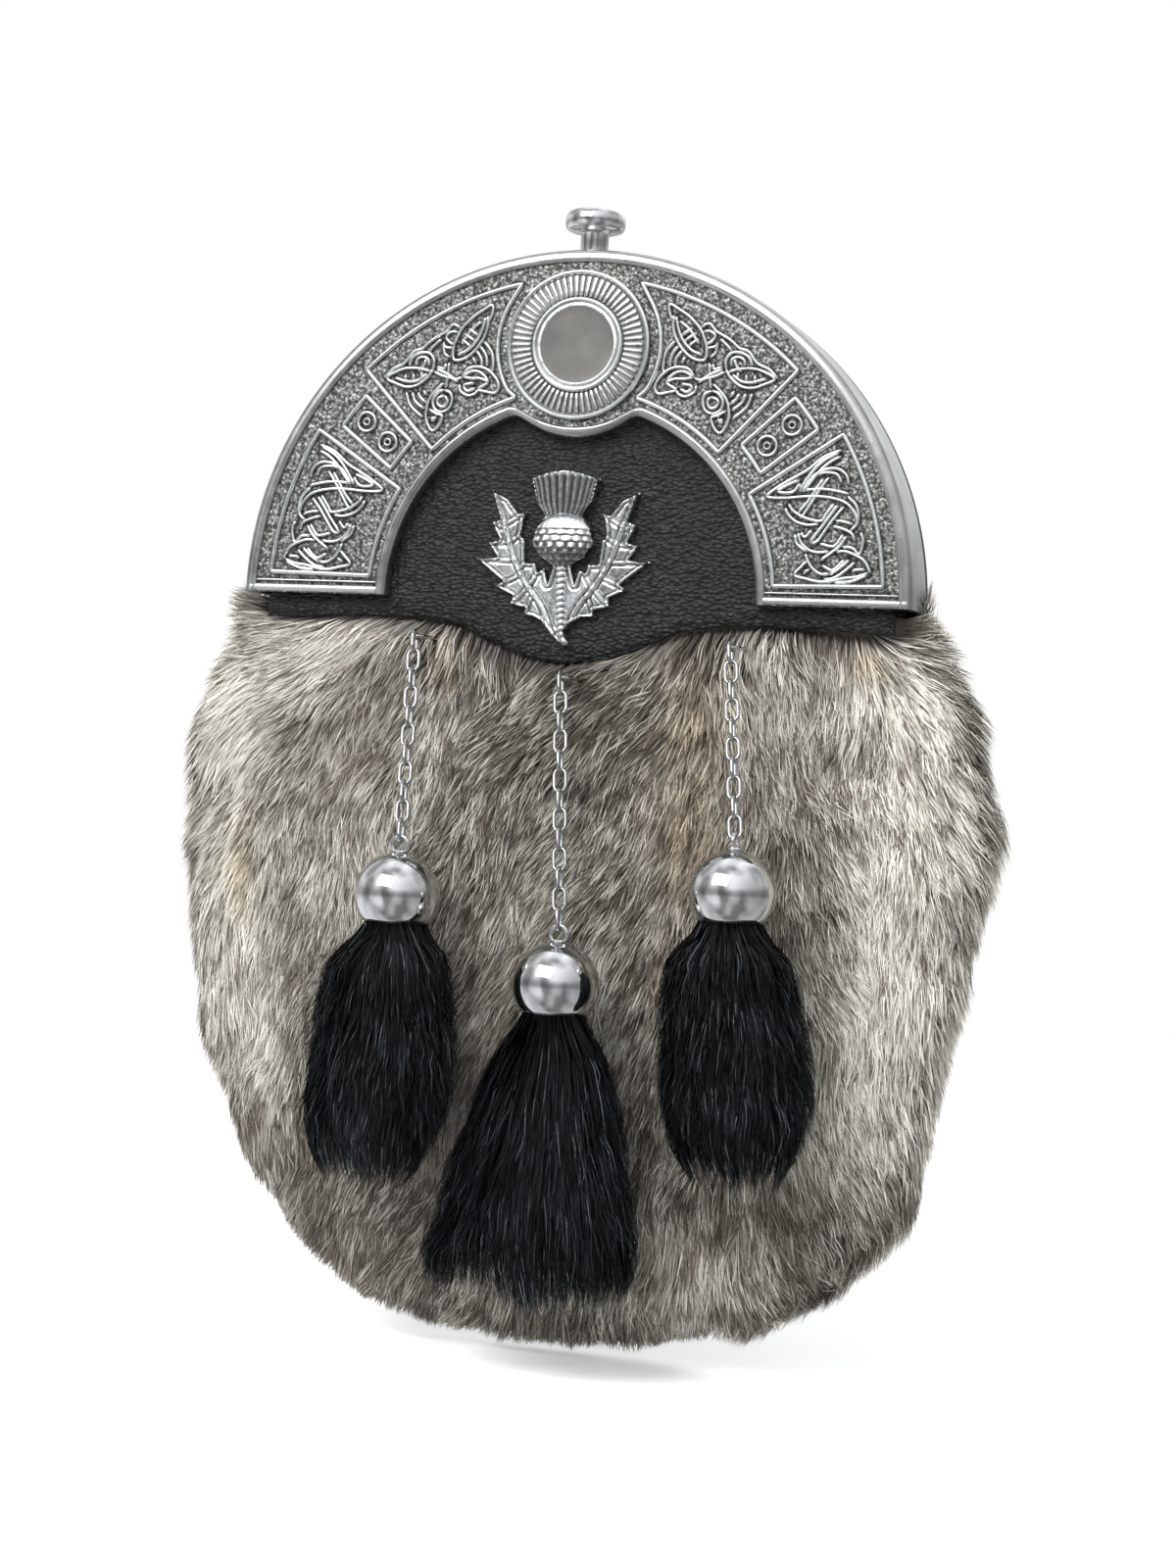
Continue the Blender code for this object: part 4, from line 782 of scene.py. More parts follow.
# The plain disc in the medallion: dull, even metal.
DISC_METAL = cast_look(
    "disc_pewter", (9.0, 4.0, 0.6), (4.0, 3.0, 0.34, 0.5), ((5.0, 2.0, 0.10, 0.10),),
    ((0.30, (0.180, 0.174, 0.165)), (0.75, (0.25, 0.243, 0.230))))
GROUND_METAL = ground_look()
# Thistle badge: bright chrome over the painted shade in its tone.
BADGE_METAL = cast_look(
    "badge_chrome", (1.4, 3.0), (0.9, 2.0, 0.14, 0.32), ((0.6, 2.0, 0.22, 0.08),),
    ((0.06, (0.045, 0.046, 0.045)), (0.42, (0.40, 0.41, 0.405)), (0.80, (0.90, 0.93, 0.93))), (0.35, 0.82))
BLACK_LEATHER = leather_look("pebbled_leather", (0.0085, 0.0088, 0.0095))
BACK_LEATHER = leather_look("smooth_leather", (0.010, 0.0095, 0.009), 0.7, 0.5)
LINING = leather_look("lining_leather", (0.020, 0.017, 0.015), 0.9, 0.6)
FUR = hair_look("rabbit_fur", 0.55, 0.30, 0.10, (0.9, 0.88, 0.85))
TASSEL_FUR = hair_look("black_fur", 0.42, 0.22, 0.0, (0.6, 0.7, 0.8))
HIDE = plain_look(
    "hide", 0.85, 0.2, (4.0, 4.0), ((0.3, (0.030, 0.023, 0.019)), (0.7, (0.075, 0.06, 0.05))),
    (0.8, 3.0, 0.5, 0.2))
THREAD = plain_look(
    "thread", 0.6, 0.35, (0.4, 2.0), ((0.3, (0.012, 0.012, 0.013)), (0.7, (0.035, 0.035, 0.038))),
    (0.3, 2.0, 0.5, 0.1))


# Cantle

def polar(radius, degrees):
    return (radius * math.cos(math.radians(degrees)), radius * math.sin(math.radians(degrees)))


def window_edge(degrees):
    """The window's edge, round its arch and the medallion's lobe, with a small fillet between them."""
    off_top = np.radians(np.asarray(degrees, float) - 90)
    reach = LOBE ** 2 - (MEDALLION_Z * np.sin(off_top)) ** 2
    lobe = MEDALLION_Z * np.cos(off_top) - np.sqrt(np.maximum(reach, 0.0))
    lobe = np.where(reach > 0, lobe, MEDALLION_Z * np.cos(off_top) + 8 * np.sqrt(np.maximum(-reach, 0.0)))
    soft = 1.1
    return -soft * np.log(np.exp(-WINDOW / soft) + np.exp(-lobe / soft)) + 0.02


def arc(radius, start, end, count, centre=(0.0, 0.0)):
    turn = np.radians(np.linspace(start, end, count))
    return np.stack((centre[0] + radius * np.cos(turn), centre[1] + radius * np.sin(turn)), -1)


def panel_lines():
    """Borders of the right side's three panels, closed paths of (x, z)."""
    inner, span = WINDOW + 2.5, ARCH - 3.0 - WINDOW - 2.5
    high, low = inner + 0.885 * span, inner + 0.045 * span
    upper = np.vstack((
        arc(high, 78.7, 45.3, 60), arc(low, 44.6, 72.5, 40),
        arc(LOBE - 1.5, -32, 30, 40, (0.0, MEDALLION_Z))))
    small = np.vstack((arc(inner + 0.74 * span, 41.9, 34.5, 14), arc(inner + 0.21 * span, 33.5, 41.9, 14)))
    lower = np.vstack((arc(high, 31.3, 3.7, 40), arc(low + 0.4, 5.1, 30.4, 30)))
    return upper, small, lower


def even(path, step):
    """A closed path with its points evenly spaced, corners kept within a step."""
    path = looped(path)
    length = travelled(path)[-1]
    return points_at(path, np.linspace(0, length, max(8, int(length / step)), endpoint=False))


# The casting's section as (off the window's edge or the arch, y).
INNER_RIM = (
    (0.0, LIP), (0.0, 1.5), (0.15, 0.9), (0.55, 0.38), (1.1, 0.08), (1.6, 0.0), (2.05, 0.04), (2.35, 0.30),
    (2.5, 0.75),
)
OUTER_RIM = (
    (-3.0, 0.75), (-2.9, 0.25), (-2.6, 0.02), (-2.15, 0.0), (-1.95, 0.16), (-1.7, 0.2), (-1.2, 0.22),
    (-0.6, 0.42), (-0.2, 0.85), (0.0, 1.5), (0.0, 8.0), (0.0, DEPTH - 0.3), (-0.3, DEPTH),
    (0.3 - WALL, DEPTH), (-WALL, DEPTH - 0.3), (-WALL, GROUND + PLATE),
)
BACK_RIM = ((1.6, GROUND + PLATE), (1.6, LIP), (0.0, LIP))
# Lines of the casting: width, height and whether the line is closed.
BORDER, KNOT_LINE = (1.30, 0.70, True), (0.98, 0.62, False)
RING, DOT = (0.95, 0.60, True), (0.75, 0.6, True)
FOOT_BAR, FOOT_LINE = (1.9, 0.62, False), (0.6, 0.45, False)
SMALL_RINGS = ((64.1, 38.2), (57.0, 37.9))


def build_cantle():
    form = Form()
    degrees = np.linspace(0, 180, 241)
    turn = np.radians(degrees)
    edge = window_edge(degrees)
    bands = [[(edge + off, y) for off, y in INNER_RIM],
             [(np.full(len(degrees), ARCH + off), y) for off, y in OUTER_RIM]
             + [(edge + off, y) for off, y in BACK_RIM]]
    for band in bands:
        form.grid(np.stack([facing_ring(r, turn, y) for r, y in band], 1), slot=1)
    for k in (0, -1):
        ring = [(r[k] * math.cos(turn[k]), y, 0.0) for r, y in (bands[0] + bands[1])[:-1]]
        form.add(ring, [list(range(len(ring)))], 1)
    strokes = []
    for mirror in (1, -1):
        for path in panel_lines():
            strokes.append((even(path * (mirror, 1), 0.5), *BORDER))
        for lines, side in ((KNOT, mirror), (PLAIT, -mirror)):
            for line in lines:
                strokes.append((smooth_line(np.array(line) * (side, 1), 0.42), *KNOT_LINE))
        for ring in SMALL_RINGS:
            x, z = polar(*ring)
            strokes.append((arc(2.15, 0, 350, 36, (mirror * x, z)), *RING))
            strokes.append((arc(0.72, 0, 340, 18, (mirror * x, z)), *DOT))
        for z, start, end, look in ((1.05, 0.9, 0.7, FOOT_BAR), (2.75, 2.0, 2.6, FOOT_LINE)):
            foot = [(mirror * x, z) for x in np.arange(WINDOW + start, ARCH - end, 0.5)]
            strokes.append((np.array(foot), *look))
    for path, width, height, closed in strokes:
        ridge(form, path, width, height, GROUND + 0.05, closed)
    middles = tree_of([(x, z, 0.0) for path, *_ in strokes for x, z in path])
    across = np.linspace(0, 1, 52)
    wide = np.linspace(0, 180, 340)
    low, high = window_edge(wide) + 2.3, ARCH - 2.9
    radius = low[None] + (high - low[None]) * across[:, None]
    x = radius * np.cos(np.radians(wide))[None]
    z = np.maximum(radius * np.sin(np.radians(wide))[None], 0.0)
    grain = 0.6 * field_noise(x, z, 0.9, 3) + 0.4 * field_noise(x, z, 0.5, 4)
    y = GROUND + 0.10 - 0.26 * (grain - 0.5)
    # The ground's tone is patina and painted shade, darker close to the raised lines.
    gap = np.array([middles.find((a, b, 0.0))[2] for a, b in zip(x.ravel(), z.ravel())])
    form.grid(np.stack((x, y, z), -1), slot=2, tone=np.clip((gap - 0.35) / 0.9, 0, 1))
    form.piece("cantle_casting", [RELIEF, RIM, GROUND_METAL], "antique_metal", replaces=("cantle",))


# The medallion's section: radius, y, share of the rib's height, tone; the tone is patina and painted shade,
# darker in the grooves and between the ribs.
BOSS = (
    (16.9, 0.3, 0, 0.5), (16.9, -0.25, 0, 0.6), (16.75, -0.55, 0, 1.0), (16.35, -0.70, 0, 1.0),
    (15.95, -0.55, 0, 0.9), (15.75, -0.22, 0, 0.3), (15.5, -0.20, 0.0, 0.3), (15.35, -0.20, 0.9, 0.3),
    (15.1, -0.20, 1.0, 0.35), (13.6, -0.22, 1.0, 0.4), (12.2, -0.24, 1.0, 0.4), (11.3, -0.26, 1.0, 0.35),
    (11.05, -0.26, 0.8, 0.3), (10.85, -0.28, 0.0, 0.25), (10.7, -0.7, 0, 0.7), (10.45, -1.0, 0, 1.0),
    (10.15, -1.08, 0, 1.0), (9.85, -0.95, 0, 0.95), (9.7, -0.72, 0, 0.5), (9.55, -0.70, 0, 0.55),
    (9.35, -0.85, 0, 0.9), (9.1, -0.88, 0, 0.9), (8.7, -0.84, 0, 0.85),
)
RIBS, RIB_HEIGHT = 62, 0.62
# Its disc: radius, y of the rim and how far the middle lies back.
DISC = (8.7, -0.84, 0.12)


def build_medallion():
    form = Form()
    turn = full_turn(RIBS * 6)
    wave = np.clip(0.5 + 0.95 * np.cos(turn * RIBS), 0, 1)
    rows, tones = [], []
    for radius, y, share, tone in BOSS:
        rows.append(facing_ring(radius, turn, y - RIB_HEIGHT * share * wave, MEDALLION_Z))
        tones.append(tone + (1.0 - tone) * share * wave)
    form.grid(np.stack(rows), 0, wrap=True, tone=np.stack(tones))
    wide, y, dish = DISC
    disc = [facing_ring(radius, turn, y + dish * (1 - (radius / wide) ** 2), MEDALLION_Z)
            for radius in (wide, 7.0, 5.0, 3.0, 1.2, 1e-4)]
    form.grid(np.stack(disc), 1, wrap=True)
    form.piece("medallion_boss", [RELIEF, DISC_METAL], "antique_metal", replaces=("medallion",))


# The knob as (radius, height): its collar and stem, then the rows that go up from its head's foot.
KNOB_FOOT = ((0, 75.2), (3.9, 75.2), (4.1, 75.4), (4.1, 76.5), (3.9, 76.7), (3.2, 76.7), (3.2, 80.0))
KNOB_RISE = 5.3
KNOB_HEAD = (
    (3.2, -0.9), (3.35, -0.5), (3.8, -0.15), (4.6, -0.02), (5.6, 0.05), (6.35, 0.35), (6.72, 0.95),
    (6.85, 1.9), (6.85, 2.6), (6.72, 3.4), (6.4, 4.05), (6.1, 4.35), (5.9, 4.42), (5.4, 4.62),
    (4.2, 4.85), (2.0, 4.98), (0, 5.0),
)


def build_knob():
    form = Form()
    rows = list(KNOB_FOOT) + [(radius, ARCH + KNOB_RISE + up) for radius, up in KNOB_HEAD]
    turned(form, rows, 64, (0.0, KNOB_Y, 0.0))
    form.piece("knob_turned", [CHROME], "chrome", body="knob", replaces=("push_knob",), smooth=30)


# Leather, thistle and back

def leather_outline(step):
    lower = np.array([(-LEATHER_HALF * a, -LEATHER_DROP * d) for a, d in LEATHER_EDGE])
    lower = np.vstack((lower, lower[::-1] * (-1, 1)))
    lower = smooth_line(lower, step)
    turn = np.linspace(0, math.pi, int(230 / step))
    arch = np.stack((LEATHER_HALF * np.cos(turn), LEATHER_TOP * np.sin(turn)), -1)
    return np.vstack((arch, lower[1:-1] if np.allclose(lower[0], arch[-1]) else lower))


def build_leather():
    form = Form()
    outline = leather_outline(1.4)
    rim = [looped(outline)]

    def front(p):
        edge = np.clip(off_lines(p, rim) / 0.9, 0, 1)
        swell = 0.10 * (field_noise(p[:, 0], p[:, 1], 17.0, 5) - 0.5)
        return LEATHER_Y + 0.55 * rounded(edge) + swell * edge

    plate(form, outline, 1.7, front, level(LEATHER_Y + LEATHER))
    form.piece("leather_panel", [BLACK_LEATHER], "black_leather", replaces=("leather_front",))


# The thistle's back, the thickness of its edge, and its bulb's middle and half sizes as shares.
BADGE_BACK = LEATHER_Y - 0.3
BADGE_FOOT = 0.55
BULB_MID, BULB_HALF, BULB_TALL = 0.60, 0.345, 0.152
CONE_FOOT, FLOWER_FOOT = 0.665, 0.725
SCALE_ROW, SCALE_TURN = 0.036, 0.38


def badge_point(share, mirror=1):
    x, half, foot, tall = BADGE
    return (x + mirror * half * share[0], foot + tall * share[1])


def build_thistle():
    form = Form()
    side = list(reversed(FLOWER_EDGE)) + list(reversed(BULB_EDGE)) + list(LEAF_INNER) + list(LEAF_OUTER)
    corners = [badge_point(p) for p in side + list(FOOT_RIGHT)]
    corners += [badge_point(p, -1) for p in list(FOOT_LEFT) + list(reversed(side[1:]))]
    outline = even(np.array(corners), 0.26)
    rim = [looped(outline)]
    ribs, veins = [], []
    for mirror in (1, -1):
        ribs.append(smooth_line([badge_point(p, mirror) for p in LEAF_MIDRIB], 0.8))
        veins += [[badge_point(p, mirror) for p in vein] for vein in LEAF_VEINS]
    stem = [badge_point(p) for p in STEM]
    cx, half, foot, tall = BADGE
    rise = {}

    def line(distance, at, wide):
        return np.exp(-((distance - at) / wide) ** 2)

    def shape(p):
        u, v = (p[:, 0] - cx) / half, (p[:, 1] - foot) / tall
        edge = off_lines(p, rim)
        rib, vein = off_lines(p, ribs), off_lines(p, veins)
        groove = line(rib, 0.75, 0.22) + 0.8 * line(vein, 0.62, 0.20) * (rib > 0.8) + line(edge, 0.95, 0.22)
        groove = np.clip(groove, 0, 1)
        leaf = 1.15 + 0.40 * line(rib, 0, 0.5) + 0.30 * line(vein, 0, 0.4) + 0.22 * line(edge, 0.5, 0.4)
        leaf += 0.30 * np.clip(1 - rib / 3.5, 0, 1) - 0.40 * groove
        # Painted shade and highlight on the leaves: darker in the grooves, lighter on the ribs and the
        # rounded edge, with tone that differs at random.
        leaf_tone = 0.98 - 0.62 * groove + 0.25 * line(rib, 0, 0.5) + 0.2 * line(edge, 0.4, 0.35)
        leaf_tone -= 0.25 * field_noise(p[:, 0] + 40, p[:, 1], 0.8, 61)
        side = off_lines(p, [stem])
        rung = np.sin(p[:, 1] * 4.6 + 0.7 * np.sin(p[:, 0] * 2.2))
        stalk = (side < 1.15) & (v < 0.47)
        round_stem = 1.35 + 0.75 * np.sqrt(np.clip(1 - (side / 1.2) ** 2, 0, 1))
        leaf = np.where(stalk, round_stem + 0.14 * rung, leaf)
        # The stem's painted shade: darker between its rungs.
        leaf_tone = np.where(stalk, 0.70 + 0.45 * rung, leaf_tone)
        ball = 1 - ((u / BULB_HALF) ** 2 + ((v - BULB_MID) / BULB_TALL) ** 2)
        row = (v - 0.45) / SCALE_ROW
        waist = np.sqrt(np.clip(1 - ((v - BULB_MID) / 0.16) ** 2, 0.15, 1))
        around = np.arcsin(np.clip(u / BULB_HALF / waist, -1, 1))
        beat = around / SCALE_TURN + 0.5 * (np.floor(row) % 2)
        scale = (1 - (row % 1)) * (1 - 1.6 * np.abs((beat % 1) - 0.5))
        streak = np.abs(np.sin(around * 14))
        cone = v > CONE_FOOT
        bulb = 1.0 + 2.15 * np.sqrt(np.clip(ball, 0, 1))
        bulb += np.where(cone, 0.08 * streak, 0.42 * (scale - 0.3))
        low = np.clip((BULB_MID - v) / 0.05, 0, 1)
        # Painted shade on the bulb: darker between the scales and over its lower half, lighter on its
        # streaked top cone.
        scale_tone = (0.15 + 1.25 * scale) * (1 - 0.62 * low) + 0.10 * low
        bulb_tone = np.where(cone, 0.78 + 0.2 * streak, scale_tone)
        wide = np.interp(v, (0.735, 0.80, 0.95), (0.22, 0.30, 0.38))
        flute = np.abs(np.sin(np.arcsin(np.clip(u / wide, -1, 1)) * 13))
        flower = 1.10 + 1.1 * np.sqrt(np.clip(1 - (u / (wide * 1.12)) ** 2, 0, 1)) + 0.30 * flute
        crown = line(v, 0.985 - 0.03 * (u / 0.38) ** 2, 0.014)
        flower += 0.25 * crown
        in_bulb = (ball > 0) & (np.abs(u) < 0.37)
        in_flower = (v > FLOWER_FOOT) & (np.abs(u) < wide * 1.05 + 0.01) & ~in_bulb
        high = np.where(in_flower, flower, np.where(in_bulb, bulb, leaf))
        # Painted shade and highlight on the flower: dark between the flutes, light on them and on the crown.
        flower_tone = 0.12 + 0.46 * flute ** 2 + 0.7 * crown
        tone = np.where(in_flower, flower_tone, np.where(in_bulb, bulb_tone, leaf_tone))
        rise["tone"] = np.clip(tone, 0, 1)
        return BADGE_FOOT + (high - BADGE_FOOT) * (1 - rounded(np.clip(edge / 0.35, 0, 1)))

    def front(p):
        return BADGE_BACK - shape(p)

    plate(form, outline, 0.29, front, level(BADGE_BACK), tone=lambda p: rise["tone"])
    form.piece("thistle_casting", [BADGE_METAL], "badge_metal", replaces=("thistle_badge",), smooth=60)


def skin_outline(offset, count):
    """The pouch's outline as a smooth closed line of (x, z)."""
    turn = np.linspace(0, math.pi, 12)[1:-1]
    arch = [((POUCH_ARCH + offset) * math.cos(a), (POUCH_TOP + offset) * math.sin(a)) for a in turn]
    rows = [(SKIN_HALF * across + offset, -SKIN_DROP * down) for down, across in SKIN_ROWS]
    low = rows.pop()
    right = rows + [(low[0], low[1] - offset)]
    left = [(-x, z) for x, z in right]
    foot = POUCH_ARCH + offset
    outline = arch + [(-foot, 0.0)] + left + right[::-1] + [(foot, 0.0)]
    line = smooth_line(outline, 1.0, closed=True)
    pick = np.linspace(0, len(line), count, endpoint=False).astype(int)
    return line[pick]


def skin_depth(z):
    """How far the pouch's skin stands out from its back at a height."""
    ease = lambda value: np.clip(value, 0, 1) ** 2 * (3 - 2 * np.clip(value, 0, 1))
    down = -z / SKIN_DROP
    belly = ease((down - 0.10) / 0.34)
    foot = ease((down - 0.66) / 0.34)
    return TOP_DEPTH + (BELLY_DEPTH - TOP_DEPTH) * belly + (FOOT_DEPTH - BELLY_DEPTH) * foot


def dome(offset, count, rows):
    """Rows of points over the pouch's skin at an offset, from its back edge to its middle."""
    outline = skin_outline(offset, count)
    made = [np.stack((outline[:, 0], np.full(count, DEPTH), outline[:, 1]), -1)]
    for share in np.sin(np.linspace(math.pi / 2, 0, rows)):
        share = max(share, 1e-4)
        height = DOME_Z + (outline[:, 1] - DOME_Z) * share
        side = SIDE_SHARE + (1 - SIDE_SHARE) * (1 - share ** 3) ** (1 / 2.2)
        depth = DEPTH - (skin_depth(height) + offset) * side
        made.append(np.stack((outline[:, 0] * share, depth, height), -1))
    return np.stack(made)


def shell(far, near, count, rows):
    """A wall between two offsets of the pouch's skin."""
    form = Form()
    outer, inner = dome(far, count, rows), dome(near, count, rows)
    for part in (outer, inner, np.stack((outer[0], inner[0]))):
        form.grid(part, wrap=True)
    return form


def build_pouch():
    form = shell(0.0, -POUCH_WALL, 160, 26)
    form.piece("pouch_leather", [LINING], "black_leather", replaces=("pouch_shell",))


def build_hide():
    """The hide that the hair grows on, a shell round the pouch below the cantle's feet."""
    item = shell(FUR_SKIN, FUR_GAP, 200, 30).piece("fur_hide", [HIDE], "fur")
    work = bmesh.new()
    work.from_mesh(item.data)
    cut = bmesh.ops.bisect_plane(
        work, geom=work.verts[:] + work.edges[:] + work.faces[:], dist=1e-7,
        plane_co=(0, 0, (FUR_TOP + OFFSET[2]) * 0.001), plane_no=(0, 0, 1), clear_outer=True)
    rim = [edge for edge in cut["geom_cut"] if isinstance(edge, bmesh.types.BMEdge)]
    bmesh.ops.holes_fill(work, edges=rim)
    bmesh.ops.triangulate(work, faces=[face for face in work.faces if len(face.verts) > 4])
    work.to_mesh(item.data)
    work.free()


def build_back():
    form = Form()
    below = [(SKIN_HALF * across + FUR_SKIN - 0.2, -SKIN_DROP * down) for down, across in SKIN_ROWS]
    low = below.pop()
    right = below + [(low[0], low[1] - FUR_SKIN + 0.2)]
    right = smooth_line([(ARCH, 0.0)] + right + [(0.0, low[1] - 5.0)], 2.0)
    arch = arc(ARCH, 180, 0, 120)
    outline = np.vstack((arch[:-1], right[:-1], (right * (-1, 1))[::-1][:-1]))
    rim = [looped(outline)]
    wide, tall, mid = MOUTH
    straight = wide / 2 - tall / 2
    ends = ((-90, 90, straight), (90, 270, -straight))
    hole = np.vstack([arc(tall / 2, start, end, 14, (x, mid)) for start, end, x in ends])
    slot_rim = [looped(hole)]

    def back(p):
        off = off_lines(p, rim)
        edge = np.clip(np.minimum(off, off_lines(p, slot_rim)) / 0.8, 0, 1)
        groove = 0.25 * np.exp(-((off - SEAM_INSET) / 0.7) ** 2)
        swell = 0.12 * (field_noise(p[:, 0], p[:, 1], 22.0, 6) - 0.5) * edge
        return PANEL_Y + LEATHER - 0.45 * rounded(edge) - groove - swell

    plate(form, outline, 2.7, level(PANEL_Y), back, holes=[hole])
    form.piece("back_leather", [BACK_LEATHER], "black_leather", replaces=("back_panel",))
    middle = np.array((0.0, -45.0))
    away = outline - middle
    seam = middle + away * (1 - SEAM_INSET / np.linalg.norm(away, axis=1))[:, None]
    return seam, hole


def stitch_line(form, path, y, pitch=4.2, length=2.7, radius=0.32):
    """Stitches along a closed line of (x, z) on a face at y."""
    path = looped(path)
    whole = travelled(path)[-1]
    count = int(whole / pitch)
    for k in range(count):
        at = (k + 0.5) * whole / count + np.array((-0.5, -0.25, 0.25, 0.5)) * length
        x, z = points_at(path, at).T
        lift = y + np.array((-0.30, 0.10, 0.10, -0.30))
        tube(form, np.stack((x, lift, z), -1), radius, 6)


# The loop's middle, then its room for the strap, half height inside, tab and bend.
HANGER_Z = 30.0
HANGER = (5.2, 14.0, 8.0, 2.08)


def build_hanger():
    """The leather band for the strap, with rounded edges and two rows of stitches on each tab."""
    form = Form()
    near = PANEL_Y + LEATHER + 0.3
    room, high, tab, bend = HANGER
    far = near + room + LEATHER
    face, top, under = near + LEATHER, high + LEATHER + tab, far - LEATHER
    outside = [(near, top), (face, top), (face, high + LEATHER * 0.9),
               (far - bend * 0.5, high + LEATHER * 0.8), (far, high - bend)]
    within = [(under, high - bend), (under - bend * 0.4, high - 0.4), (near, high)]
    outside += [(y, -z) for y, z in reversed(outside)]
    within = [(y, -z) for y, z in reversed(within)] + within
    ring = even(np.array(outside + within), 0.9)
    for _ in range(2):
        ring = 0.25 * np.roll(ring, 1, 0) + 0.5 * ring + 0.25 * np.roll(ring, -1, 0)
    along = unit_rows(path_way(ring, True))
    normal = np.stack((-along[:, 1], along[:, 0]), -1)
    area = 0.5 * np.sum(ring[:, 0] * np.roll(ring[:, 1], -1) - np.roll(ring[:, 0], -1) * ring[:, 1])
    normal *= 1 if area > 0 else -1
    rows = []
    edge = ((12.0, 0.5), (11.7, 0.2), (11.2, 0.03), (6, 0.0))
    for x, pinch in [(-x, pinch) for x, pinch in edge] + [(0, 0.0)] + list(reversed(edge)):
        moved = ring + normal * pinch
        rows.append(np.stack((np.full(len(ring), x), moved[:, 0], HANGER_Z + moved[:, 1]), -1))
    form.grid(np.stack(rows), wrap=True)
    for row in (rows[0], rows[-1]):
        form.add(row, [list(range(len(row)))])
    form.piece("hanger_leather", [BACK_LEATHER], "black_leather", replaces=("hanger_loop",))
    threads = Form()
    for sign in (1, -1):
        low, top = sorted(HANGER_Z + sign * z for z in (high + 3.0, high + LEATHER + tab - 1.6))
        box = [(-9.6, low), (9.6, low), (9.6, top), (-9.6, top)]
        stitch_line(threads, even(np.array(box), 0.5), face, pitch=3.0, length=2.0, radius=0.28)
    return threads


# Chains, staples and caps

def chain_line(row):
    """A chain's first link's middle, its way, its pitch and how many links it has."""
    _, x, z, y, lean_x, lean_y, count = row
    along = unit_rows((lean_x, lean_y, -1))
    pitch = LINK_LENGTH - 2 * LINK_WIRE + LINK_BITE
    drop = (LINK_LENGTH - LINK_WIRE) / 2 - (LINK_WIRE + STAPLE_WIRE) / 2 - 0.3
    first = np.array((x, y, z)) + along * drop
    return first, along, pitch, count


def build_chain(row):
    form = Form()
    first, along, pitch, count = chain_line(row)
    flat = unit_rows(np.cross(along, (0, 1, 0)))
    deep = unit_rows(np.cross(flat, along))
    half_long, half_wide = (LINK_LENGTH - LINK_WIRE) / 2, (LINK_WIDTH - LINK_WIRE) / 2
    straight = half_long - half_wide
    for i in range(count):
        across, facing = (deep, -flat) if i % 2 == 0 else (flat, deep)
        path = []
        for end in (1, -1):
            for turn in np.radians(np.linspace(90, -90, 11)):
                path.append(first + along * (pitch * i + end * (straight + half_wide * math.cos(turn)))
                            + across * (end * half_wide * math.sin(turn)))
        tube(form, path, LINK_WIRE / 2, 10, closed=True, up=facing)
    name = row[0]
    form.piece("links_" + name, [CHAIN_CHROME], "chrome", replaces=("chain_" + name,),
               smooth=180, weld=False)


def build_staple(row):
    name, x, z, y = row[:4]
    form = Form()
    _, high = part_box("staple_" + name)
    back = high.y * 1000 - OFFSET[1] - 0.1
    turn = np.linspace(0, math.pi, 11)
    half = STAPLE_HALF
    bow = np.stack((x + half * np.cos(turn), y + half - half * np.sin(turn), np.full(11, z)), -1)
    path = np.vstack(([(x + half, back, z)], bow, [(x - half, back, z)]))
    tube(form, path, STAPLE_WIRE / 2, 10, up=(0, 0, 1))
    form.piece("wire_" + name, [CHAIN_CHROME], "chrome", replaces=("staple_" + name,),
               smooth=180, weld=False)


def cap_centre(row):
    """The middles of a ball cap's eye and of the ball."""
    first, along, pitch, count = chain_line(row)
    end = first + along * (pitch * (count - 1) + (LINK_LENGTH - LINK_WIRE) / 2)
    eye = end - np.array((0, 0, EYE_RADIUS - (EYE_WIRE + LINK_WIRE) / 2 - 0.3))
    return eye, eye - np.array((0, 0, CAP_RADIUS + EYE_RADIUS - EYE_WIRE * 0.3))


# The small seat that the cap's eye stands in.
CAP_SEAT = ((0, 9.3), (1.5, 9.3), (1.9, 9.55), (1.7, 9.9), (1.1, 10.1), (0, 10.1))


def build_cap(row):
    form = Form()
    eye, centre = cap_centre(row)
    mouth = math.asin(CAP_DROP / CAP_RADIUS)
    inner = CAP_RADIUS - CAP_WALL
    inner_mouth = math.asin(CAP_DROP / inner)
    rows = [polar(CAP_RADIUS, a) for a in np.linspace(90, math.degrees(0.03 - mouth), 30)]
    lip = CAP_RADIUS * math.cos(mouth)
    rows += [(lip + out, up - CAP_DROP) for out, up in ((0.02, 0.12), (-0.1, -0.02), (-0.7 * CAP_WALL, 0.0))]
    rows += [polar(inner, a) for a in np.linspace(math.degrees(0.03 - inner_mouth), 90, 16)]
    turned(form, rows, 64, centre)
    turned(form, CAP_SEAT, 24, centre)
    across = np.array((1.0, 0, 0)) if row[6] % 2 == 1 else np.array((0, 1.0, 0))
    up = np.array((0, 0, 1.0))
    ring = [eye + EYE_RADIUS * (math.cos(a) * across + math.sin(a) * up) for a in full_turn(28)]
    tube(form, ring, EYE_WIRE / 2, 10, closed=True, up=np.cross(across, up))
    name = row[0]
    form.piece("ball_" + name, [CHROME], "chrome", replaces=("cap_" + name,), smooth=50)


# Fur

